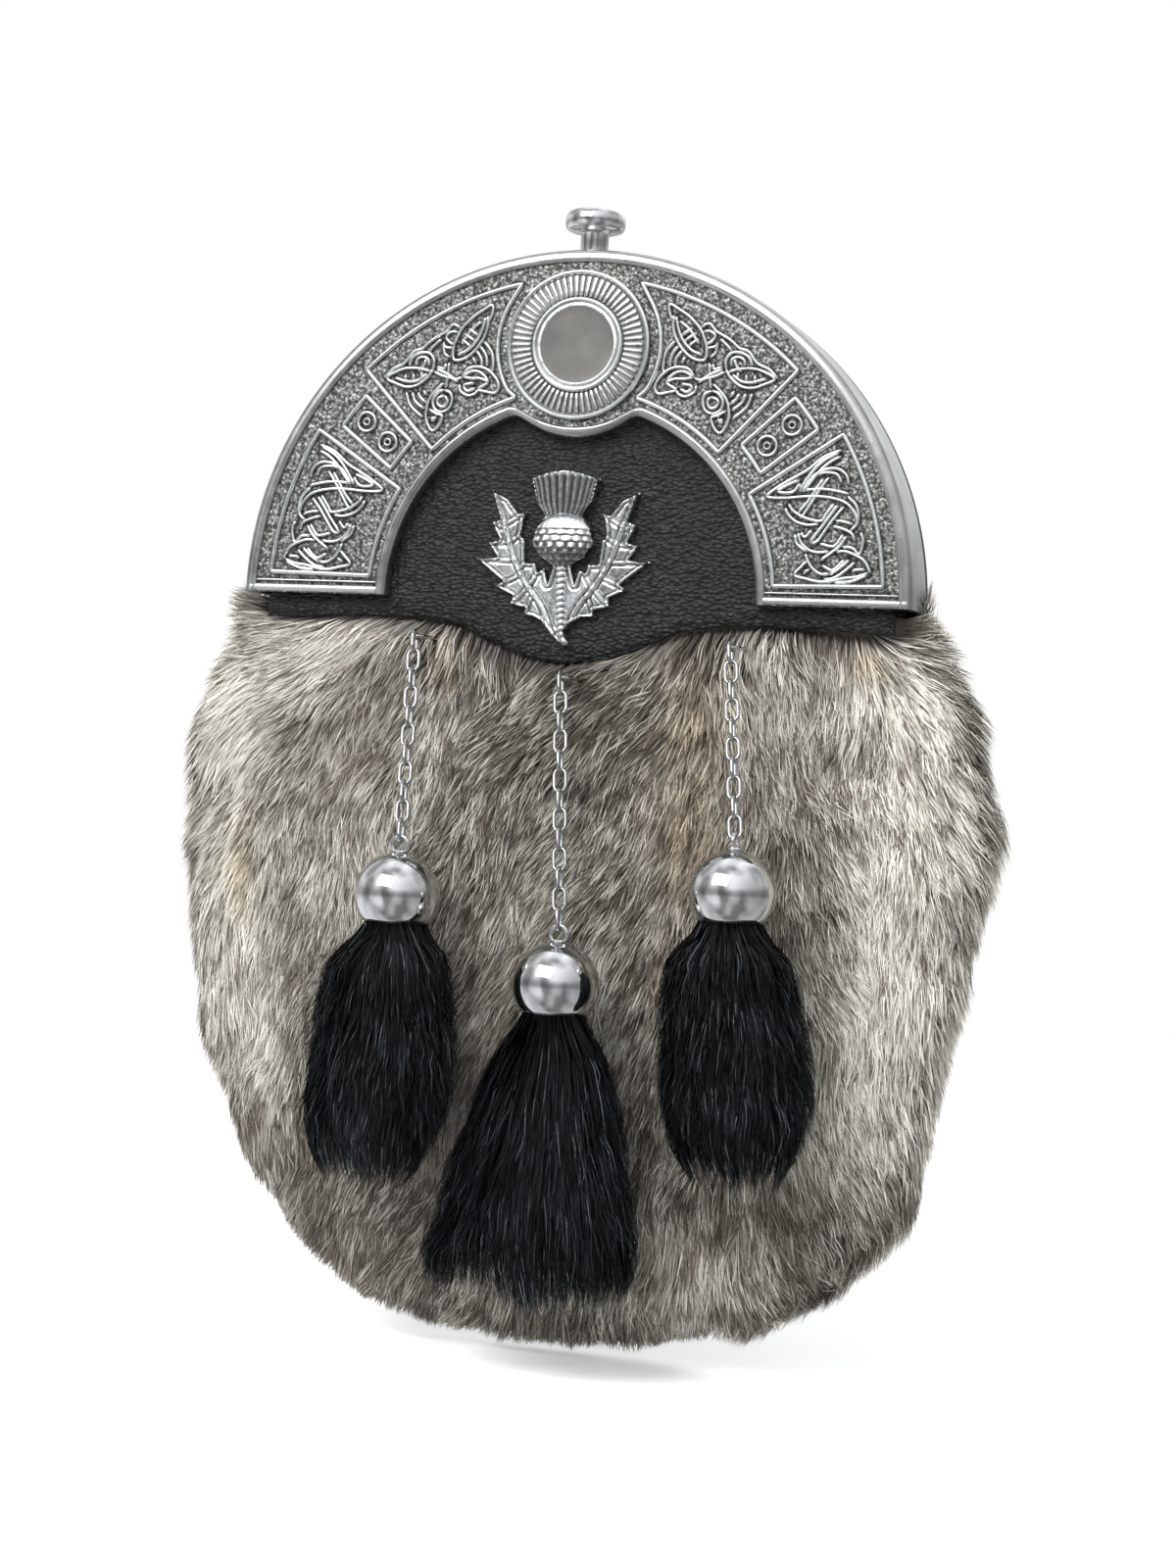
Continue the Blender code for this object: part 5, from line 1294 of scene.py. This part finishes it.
def blades(name, look, paths, sides, widths, colours, replaces=()):
    """Hairs as tapered strips: paths (hair, point, 3), sides (hair, 3), widths (hair, point - 1)."""
    hairs, steps = paths.shape[:2]
    body = paths[:, :-1]
    shift = sides[:, None] * widths[..., None] / 2
    strips = np.stack((body - shift, body + shift), 2).reshape(hairs, -1, 3)
    points = np.concatenate((strips, paths[:, -1:]), 1)
    per = points.shape[1]
    faces = []
    for a in range(0, 2 * steps - 4, 2):
        faces += [(a, a + 1, a + 3), (a, a + 3, a + 2)]
    faces.append((2 * steps - 4, 2 * steps - 3, 2 * steps - 2))
    faces = (np.arange(hairs)[:, None, None] * per + np.array(faces)[None]).reshape(-1, 3)
    shades = np.concatenate((np.repeat(colours[:, :-1], 2, 1), colours[:, -1:]), 1).reshape(-1, 3)
    mesh = mesh_of(name, points.reshape(-1, 3), faces.ravel(), np.full(len(faces), 3))
    tint = mesh.attributes.new("hair", "FLOAT_COLOR", "POINT")
    shades = np.concatenate((shades, np.ones((len(shades), 1))), 1)
    tint.data.foreach_set("color", shades.astype(np.float32).ravel())
    mesh.update(calc_edges=True)
    mesh.materials.append(look)
    mesh.shade_smooth()
    return place(name, mesh, "sporran", replaces)


def hair_sides(root, tip, normal, twist):
    """The way each hair's width lies: along the skin, twisted about the hair."""
    bend = unit_rows(tip - root)
    flat_side = unit_rows(np.cross(bend, normal), 1e-6)
    return flat_side * np.cos(twist)[:, None] + np.cross(flat_side, bend) * np.sin(twist)[:, None]


def patch_share(x, z, rows):
    """How far points lie in some patches, from 0 to 1."""
    total = np.zeros(len(x))
    for px, pz, rx, rz in rows:
        total += np.exp(-((x - px) / (rx * 1.15)) ** 2 - ((z - pz) / (rz * 1.15)) ** 2)
    return np.clip(total, 0, 1)


def mound(x, z, size):
    """A round hill one high."""
    return np.exp(-(x ** 2 + z ** 2) / (2 * size ** 2))


def flow_way(x, z):
    """Unit (x, z) way of the hair, from the table."""
    total = np.zeros((len(x), 2))
    for px, pz, degrees in FLOW:
        weight = mound(x - px, z - pz, FLOW_SIZE) + 1e-5
        turn = math.radians(degrees)
        total += weight[:, None] * np.array((math.sin(turn), -math.cos(turn)))
    total += 0.02 * np.stack((x / 90.0, -np.ones(len(x))), -1)
    return unit_rows(total)


def reach_at(line, turn):
    """Distance from the dome's middle to a line, by angle."""
    line = np.asarray(line, float)
    angle = np.arctan2(line[:, 1] - DOME_Z, line[:, 0])
    order = np.argsort(angle)
    far = np.hypot(line[:, 0], line[:, 1] - DOME_Z)
    return np.interp(turn, angle[order], far[order], period=2 * math.pi)


def fur_reach(x, z):
    """How far the silhouette stands off the hide, in the direction from the dome's middle."""
    turn = np.arctan2(z - DOME_Z, x)
    return np.clip(reach_at(FUR_EDGE, turn) - reach_at(skin_outline(FUR_SKIN, 300), turn), 4.0, 22.0)


def hold_in(point, room):
    """Points brought back inside the fur's silhouette, less some room."""
    x, z = point[:, 0], point[:, 2] - DOME_Z
    reach = np.maximum(1.0, reach_at(FUR_EDGE, np.arctan2(z, x)) - room)
    share = np.minimum(1.0, reach / np.maximum(np.hypot(x, z), 1e-6))
    point[:, 0] = x * share
    point[:, 2] = DOME_Z + z * share


def leather_foot(x):
    """Height of the leather panel's lower edge at an x."""
    across = [LEATHER_HALF * a for a, _ in reversed(LEATHER_EDGE)]
    drop = [LEATHER_DROP * d for _, d in reversed(LEATHER_EDGE)]
    return -np.interp(np.abs(x), across, drop)


FUR_EDGE = smooth_line(FUR_OUTLINE, 2.0)


def skin_samples(count, dice):
    """Points and outward normals, evenly spread over the hide."""
    rows = dome(FUR_SKIN, 360, 70)
    a, b = rows[:-1], rows[1:]
    c, d = np.roll(b, -1, 1), np.roll(a, -1, 1)
    normal = np.cross(c - a, b - d)
    area = np.linalg.norm(normal, axis=-1)
    keep = (a[..., 2] < 3.0) & (area > 1e-9)
    share = np.where(keep, area, 0).ravel()
    share /= share.sum()
    pick = dice.choice(share.size, count, p=share)
    u, v = dice.random((2, count, 1))
    corner = [part.reshape(-1, 3)[pick] for part in (a, d, c, b)]
    point = (corner[0] * (1 - u) + corner[1] * u) * (1 - v) + (corner[3] * (1 - u) + corner[2] * u) * v
    normal = normal.reshape(-1, 3)[pick] / area.ravel()[pick][:, None]
    away = point - np.array((0.0, DEPTH, DOME_Z))
    normal *= np.sign(np.sum(normal * away, axis=1))[:, None]
    return point, normal


def hair_fit(point, normal, dice, spread):
    """Way along the hide, length and lift for hairs at some roots."""
    x, z = point[:, 0], point[:, 2]
    way = flow_way(x, z)
    flow = np.stack((way[:, 0], np.zeros(len(x)), way[:, 1]), -1)
    flow += spread * dice.normal(size=flow.shape) * (1, 0.3, 1)
    swirl = 0.8 * (field_noise(x, z, 13.0, 24) - 0.5)
    flow = np.stack((
        flow[:, 0] * np.cos(swirl) - flow[:, 2] * np.sin(swirl), flow[:, 1],
        flow[:, 0] * np.sin(swirl) + flow[:, 2] * np.cos(swirl)), -1)
    along = flow - normal * np.sum(flow * normal, axis=1)[:, None]
    along = unit_rows(along, 0.05)
    side = np.clip(1.25 * (1 - np.abs(normal[:, 1])), 0, 1)
    tuft = 0.55 + 0.9 * field_noise(x, z, 10.0, 21)
    lift = (HAIR_LIFT * tuft * (1 - side)
            + fur_reach(x, z) * side * (0.75 + 0.3 * field_noise(x, z, 7.0, 22)))
    for row in CHAINS:
        lift += MOUND_LIFT * (1 - side) * mound(x - row[1], z - row[2], MOUND_SIZE)
    length = np.maximum(HAIR_LENGTH * (0.85 + 0.3 * field_noise(x, z, 9.0, 23)), 1.4 * lift)
    return along, length, lift


# Colours of the hair's tips by shade, the tan patches' tint, the dark guard hairs' and the band below a tip.
HAIR_SHADES = (
    (0.0, (0.030, 0.026, 0.021)), (0.32, (0.145, 0.130, 0.108)), (0.62, (0.43, 0.41, 0.355)),
    (1.0, (0.78, 0.775, 0.71)),
)
WARM = (1.08, 0.93, 0.76)
GUARD_TINT = (0.24, 0.205, 0.18)
BAND = (0.075, 0.062, 0.050)
# The hair stays in front of this y, and the hair beside the cantle below this z.
FUR_BACK, FUR_CEILING = 17.5, -0.8


def build_fur(total):
    dice = np.random.default_rng(11)
    point, normal = skin_samples(total, dice)
    x, z = point[:, 0], point[:, 2]
    under = (np.abs(x) < LEATHER_HALF + 0.5) & (z > leather_foot(x) + 0.4) & (normal[:, 1] < -0.3)
    keep = ~under & (z < FUR_TOP - 0.2)
    for row in CHAINS:
        keep &= (np.hypot(x - row[1], z - row[2]) > CHAIN_ROOM) | (point[:, 1] > 10)
    point, normal = point[keep], normal[keep]
    count = len(point)
    tuft_point, tuft_normal = skin_samples(int(count / HAIRS_A_TUFT), dice)
    tree = tree_of(tuft_point)
    owner = np.array([tree.find(p)[1] for p in point])
    along, length, lift = hair_fit(point, normal, dice, 0.12)
    tuft_along, tuft_length, tuft_lift = hair_fit(tuft_point, tuft_normal, dice, 0.20)
    stray = dice.random(count) < STRAYS
    length = length * dice.uniform(0.70, 1.12, count)
    lift = lift * dice.uniform(0.55, 1.05, count)

    def path(p, n, a, long, high):
        """Middles and tips of hairs from their roots, normals, ways, lengths and lifts."""
        flat = np.sqrt(np.maximum(long ** 2 - high ** 2, (0.45 * long) ** 2))
        middle = p + a * (0.55 * flat)[:, None] + n * (0.80 * high)[:, None]
        return middle, p + a * flat[:, None] + n * (0.95 * high)[:, None]

    middle, tip = path(point, normal, along, length, lift)
    tuft_middle, tuft_tip = path(tuft_point, tuft_normal, tuft_along, tuft_length, tuft_lift)
    pull = np.where(stray, 0.1, dice.uniform(0.45, 0.75, count))[:, None]
    middle = middle + (tuft_middle[owner] - middle) * pull * 0.45
    tip = tip + (tuft_tip[owner] - tip) * pull
    ragged = 5.0 * field_noise(tip[:, 0], tip[:, 2], 8.0, 25) + np.abs(dice.normal(0, 1.1, count))
    hold_in(tip, ragged - 2.4)
    hold_in(middle, ragged + 0.8)
    tip[:, 1] = np.minimum(tip[:, 1], FUR_BACK)
    root = point - normal * 0.3
    wall = (np.abs(tip[:, 0]) < ARCH + 0.5) & (tip[:, 2] > FUR_CEILING)
    tip[wall, 2] = FUR_CEILING
    paths = np.stack((root, middle, tip), 1)

    seen = tip * 0.6 + middle * 0.4
    sx, sz = seen[:, 0], seen[:, 2]
    dark, light, tan = (patch_share(sx, sz, rows) for rows in (DARK_FUR, LIGHT_FUR, TAN_FUR))
    tuft_shade = dice.normal(0, 0.14, len(tuft_point))[owner] * (1 + 1.0 * dark)
    low = np.clip((-95 - sz) / 55, 0, 1)
    shade = 0.53 + 0.32 * light * (1 - 0.45 * low) - 0.045 * dark - 0.17 * low + tuft_shade
    shade += 0.40 * (field_noise(sx, sz, 4.5, 31) - 0.5) + 0.34 * (field_noise(sx, sz, 1.8, 32) - 0.5)
    shade += 0.48 * dark * (field_noise(sx, sz, 2.8, 33) - 0.38)
    shade += (0.20 + 0.12 * dark) * dice.normal(size=count)
    shade = np.clip(shade, 0, 1)
    shades, palette = zip(*HAIR_SHADES)
    tip_colour = np.stack([np.interp(shade, shades, channel) for channel in zip(*palette)], -1)
    tip_colour *= 1 + (np.array(WARM) - 1) * (tan[:, None] * 0.8)
    guard = dice.random(count) < 0.15 + 0.20 * dark
    tip_colour[guard] *= GUARD_TINT
    band = np.array(BAND) * (0.5 + 1.2 * dice.random((count, 1)))
    mid_colour = tip_colour * (0.24 + 0.40 * light - 0.12 * dark)[:, None]
    mid_colour += band * (1 - 0.45 * dark[:, None])
    root_colour = np.minimum(tip_colour * 0.25, 0.07) + 0.01
    colours = np.stack((root_colour, mid_colour, tip_colour), 1)

    sides = hair_sides(root, tip, normal, dice.uniform(-0.9, 0.9, count))
    wide = dice.uniform(*HAIR_WIDTHS, count)
    widths = np.stack((wide * 0.9, wide), -1)

    thirds = np.quantile(point[:, 0], (1 / 3, 2 / 3))
    part = np.digitize(point[:, 0], thirds)
    for k, name in enumerate(("fur_left", "fur_middle", "fur_right")):
        pick = part == k
        blades(name, FUR, paths[pick], sides[pick], widths[pick], colours[pick],
               replaces=("fur_coat",) if k == 1 else ())


# A tassel's core: how far down, and how far in as a share of the tassel's half width.
CORE = (
    (0.0, 0.9), (0.06, 0.84), (0.15, 0.72), (0.3, 0.66), (0.5, 0.64), (0.66, 0.58), (0.78, 0.42),
    (0.84, 0.01),
)
TASSEL_SEEDS = {"left": 41, "centre": 42, "right": 43}
NECK, NECK_RADIUS = 0.10, 6.6
# The tassel's black, and the blue-grey of strands that carry painted sheen in place of highlights.
TASSEL_BLACK, TASSEL_SHEEN = (0.0026, 0.0031, 0.0036), (0.040, 0.048, 0.054)


def build_tassel(row, hairs):
    """A black tassel: layers of hair from the ball cap's mouth down, over a dark core."""
    name = row[0]
    _, centre = cap_centre(row)
    half, length, shift, shape = TASSELS[name]
    table = np.array(TASSEL_SHAPES[shape])
    dice = np.random.default_rng(TASSEL_SEEDS[name])
    top = centre[2] - CAP_DROP - 0.2

    def spot(turn, down, inset):
        across = np.interp(down, table[:, 0], table[:, 1])
        deep = TASSEL_DEPTH * np.minimum(1.0, across * 1.15)
        neck = np.clip(1 - down / NECK, 0, 1)
        wide = half * across * (1 - neck) + NECK_RADIUS * neck
        deep = deep * (1 - neck) + NECK_RADIUS * neck
        return np.stack((
            centre[0] + shift * down + wide * inset * np.cos(turn),
            centre[1] + deep * inset * np.sin(turn),
            top - length * down,
        ), -1)

    core = Form()
    turns = full_turn(40)
    rows = [spot(turns, np.full(40, down), np.full(40, inset)) for down, inset in CORE]
    rows.insert(0, rows[0] + (0, 0, 3.5))
    rows.insert(0, np.repeat(rows[0].mean(0)[None], 40, 0))
    core.grid(np.stack(rows), wrap=True)
    core.piece("core_" + name, [THREAD], "tassel_fur")

    start = dice.random(hairs) ** 0.95 * 0.80 - 0.03
    front = dice.random(hairs) < 0.75
    turn = np.where(front, -math.pi / 2 + dice.normal(0, 0.95, hairs), dice.uniform(0, 2 * math.pi, hairs))
    drop = 0.27 * dice.uniform(0.60, 1.15, hairs) + 0.10 * (shape == "flared")
    foot = 0.93 + 0.14 * field_noise(np.cos(turn) * half, turn * 3, 5.0, 52) + dice.normal(0, 0.02, hairs)
    end = np.minimum(start + drop, foot)
    end = np.maximum(end, start + 0.10)
    sway = dice.normal(0, 0.07, hairs)
    curl = 0.55 * (field_noise(turn * 10 + 40, start * 60, 7.0, 51) - 0.5)
    rise = 0.90 + 0.20 * field_noise(np.cos(turn) * half + 30, start * length, 8.0, 53)
    first = np.where(start < 0.05, 0.93, 0.66 + 0.1 * dice.random(hairs))
    steps = []
    for t in np.arange(4) / 3:
        down = start + (end - start) * t
        swell = math.sin(t * 1.25) / math.sin(1.25)
        bulge = first + (rise * dice.uniform(0.84, 1.05, hairs) - first) * swell
        steps.append(spot(turn + (sway + curl) * t * np.minimum(1, start * 4 + 0.2), down, bulge))
    paths = np.stack(steps, 1)
    tuft_count = max(60, hairs // 12)
    tuft = dice.integers(0, hairs, tuft_count)
    tree = tree_of(paths[tuft, 2])
    tuft_of = np.array([tree.find(p)[1] for p in paths[:, 2]])
    owner = tuft[tuft_of]
    pull = dice.uniform(0.15, 0.60, hairs)[:, None]
    paths[:, 3] += (paths[owner, 3] - paths[:, 3]) * pull
    paths[:, 2] += (paths[owner, 2] - paths[:, 2]) * pull * 0.4
    out = paths[:, 2] - np.stack((centre[0] + shift * start, np.full(hairs, centre[1]), paths[:, 2, 2]), -1)
    sides = hair_sides(paths[:, 0], paths[:, 3], unit_rows(out), dice.uniform(-1.0, 1.0, hairs))
    wide = dice.uniform(*TASSEL_WIDTHS, hairs)
    widths = np.stack((wide, wide, wide * 0.8), -1)
    patch = field_noise(paths[:, 2, 0] + 60, paths[:, 2, 2], 9.0, 54)
    base = np.array(TASSEL_BLACK) * (0.35 + 2.2 * patch ** 2)[:, None]
    shade = np.exp(dice.normal(0, 0.5, hairs) + dice.normal(0, 0.45, tuft_count)[tuft_of])[:, None] * base
    # Painted sheen: a share of strands turned blue-grey as highlights, more where the patches are lighter.
    sheen_strands = dice.random(hairs) < 0.06 + 0.10 * patch
    shade[sheen_strands] = np.array(TASSEL_SHEEN) * dice.uniform(0.3, 1.8, (sheen_strands.sum(), 1))
    colours = np.stack((shade * 0.4, shade * 0.7, shade, shade * 1.3), 1)
    blades("tassel_hair_" + name, TASSEL_FUR, paths, sides, widths, colours,
           replaces=("tassel_" + name,))


# Floor, light and camera

def build_stage(floor_z):
    mesh = bpy.data.meshes.new("floor")
    work = bmesh.new()
    bmesh.ops.create_circle(work, cap_ends=True, segments=96, radius=1.6)
    work.to_mesh(mesh)
    work.free()
    floor = bpy.data.objects.new("floor", mesh)
    floor.location = (0, 0, floor_z)
    bpy.context.scene.collection.objects.link(floor)
    floor.visible_glossy = False
    look = bpy.data.materials.new("pale_floor")
    look.use_nodes = True
    look.node_tree.nodes.clear()
    ground = Nodes(look.node_tree)
    matte = ground.node("BsdfDiffuse", {"Color": (0.80, 0.80, 0.80, 1)}).outputs[0]
    glow = ground.node("Emission", {"Color": (1, 1, 1, 1), "Strength": 0.30}).outputs[0]
    lit = ground.node("AddShader", {0: matte, 1: glow}).outputs[0]
    clear = ground.node("BsdfTransparent").outputs[0]
    size = ground.vector("LENGTH", ground.node("TexCoord").outputs["Object"])["Value"]
    band = ground.span(size, 0.22, 1.2, interpolation_type="SMOOTHSTEP")
    fade = ground.node("MixShader", {0: band, 1: lit, 2: clear}).outputs[0]
    ground.node("OutputMaterial", {"Surface": fade})
    mesh.materials.append(look)


# The sky that the metal mirrors, from straight down to straight up, with a darker horizon.
SKY = ((0.0, 0.45), (0.33, 0.68), (0.43, 0.62), (0.50, 0.33), (0.56, 0.38), (0.66, 0.80), (1.0, 0.95))


def build_world():
    """White for the camera; for all else a sky with soft clouds, darker towards the right."""
    world = bpy.data.worlds.new("studio")
    bpy.context.scene.world = world
    world.use_nodes = True
    world.node_tree.nodes.clear()
    sky = Nodes(world.node_tree)
    where = sky.node("TexCoord").outputs["Generated"]
    split = sky.node("SeparateXYZ", {0: where}).outputs
    stops = [(at, (grey * 0.985, grey, grey * 1.02)) for at, grey in SKY]
    colour = sky.ramp(sky.span(split["Z"], -1.0), stops)
    squashed = sky.vector("MULTIPLY", where, (1.0, 1.0, 0.70))[0]
    clouds = sky.node("TexNoise", {"Vector": squashed, "Scale": 1.3, "Detail": 1.5}).outputs["Fac"]
    share = sky.maths(
        "MULTIPLY", sky.span(clouds, 0.36, 0.58, 0.40, 1.35), sky.span(split["X"], 0.25, 0.95, 1.0, 0.45))
    shade = sky.node("VectorMath", {0: colour, "Scale": share}, operation="SCALE").outputs[0]
    seen = sky.blend(sky.node("LightPath").outputs["Is Camera Ray"], shade, (1.0, 1.0, 1.0, 1.0))
    glow = sky.node("Background", {"Color": seen}).outputs[0]
    sky.node("OutputWorld", {"Surface": glow})


# name, place, width, height, watts and whether the metal mirrors it
LIGHTS = (
    ("key", (-0.40, -0.75, 0.75), 0.8, 0.6, 15.4, False),
    ("sky_card", (-0.30, -0.85, 0.55), 0.80, 0.55, 5.2, True),
    ("fill", (0.85, -0.75, 0.10), 0.6, 0.9, 5.5, False),
    ("back_light", (0.1, 0.9, 0.7), 1.0, 0.5, 4.0, False),
)


def area_light(aim, name, spot, width, height, power, mirrored):
    light = bpy.data.lights.new(name, "AREA")
    light.shape, light.size, light.size_y, light.energy = "RECTANGLE", width, height, power
    item = bpy.data.objects.new(name, light)
    item.location = spot
    item.rotation_euler = (Vector(aim) - Vector(spot)).to_track_quat("-Z", "Y").to_euler()
    bpy.context.scene.collection.objects.link(item)
    item.visible_camera = False
    item.visible_glossy = mirrored


def build_camera():
    camera = bpy.data.cameras.new("camera")
    camera.lens = 64.9
    camera.sensor_width = 36.0
    camera.sensor_fit = "AUTO"
    camera.clip_start = 0.01
    item = bpy.data.objects.new("camera", camera)
    right, up, ahead = (0.9490, 0.3106, 0.0531), (-0.0474, -0.0258, 0.9985), (-0.3115, 0.9502, 0.0098)
    turn = Matrix((right, up, tuple(-v for v in ahead))).transposed()
    item.matrix_world = Matrix.Translation((0.2046, -0.6212, -0.0773)) @ turn.to_4x4()
    bpy.context.scene.collection.objects.link(item)
    bpy.context.scene.camera = item


def main():
    build_camera()
    build_cantle()
    build_medallion()
    build_knob()
    build_leather()
    build_thistle()
    build_pouch()
    build_hide()
    seam, mouth = build_back()
    threads = build_hanger()
    stitch_line(threads, seam, PANEL_Y + LEATHER - 0.2)
    around = np.array((0.0, MOUTH[2])) + (mouth - np.array((0.0, MOUTH[2]))) * (1.05, 1.62)
    stitch_line(threads, around, PANEL_Y + LEATHER, pitch=3.6, length=2.3, radius=0.28)
    threads.piece("back_stitches", [THREAD], "black_leather", smooth=180, weld=False)
    for row in CHAINS:
        build_chain(row)
        build_staple(row)
        build_cap(row)
    build_fur(FUR_HAIRS)
    for row in CHAINS:
        build_tassel(row, TASSEL_HAIRS)
    low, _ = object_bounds()
    build_stage(low.z - 0.0005)
    build_world()
    aim = (0.0, -0.02, -0.07)
    for light in LIGHTS:
        area_light(aim, *light)
    bpy.context.scene.view_settings.view_transform = "Standard"


main()
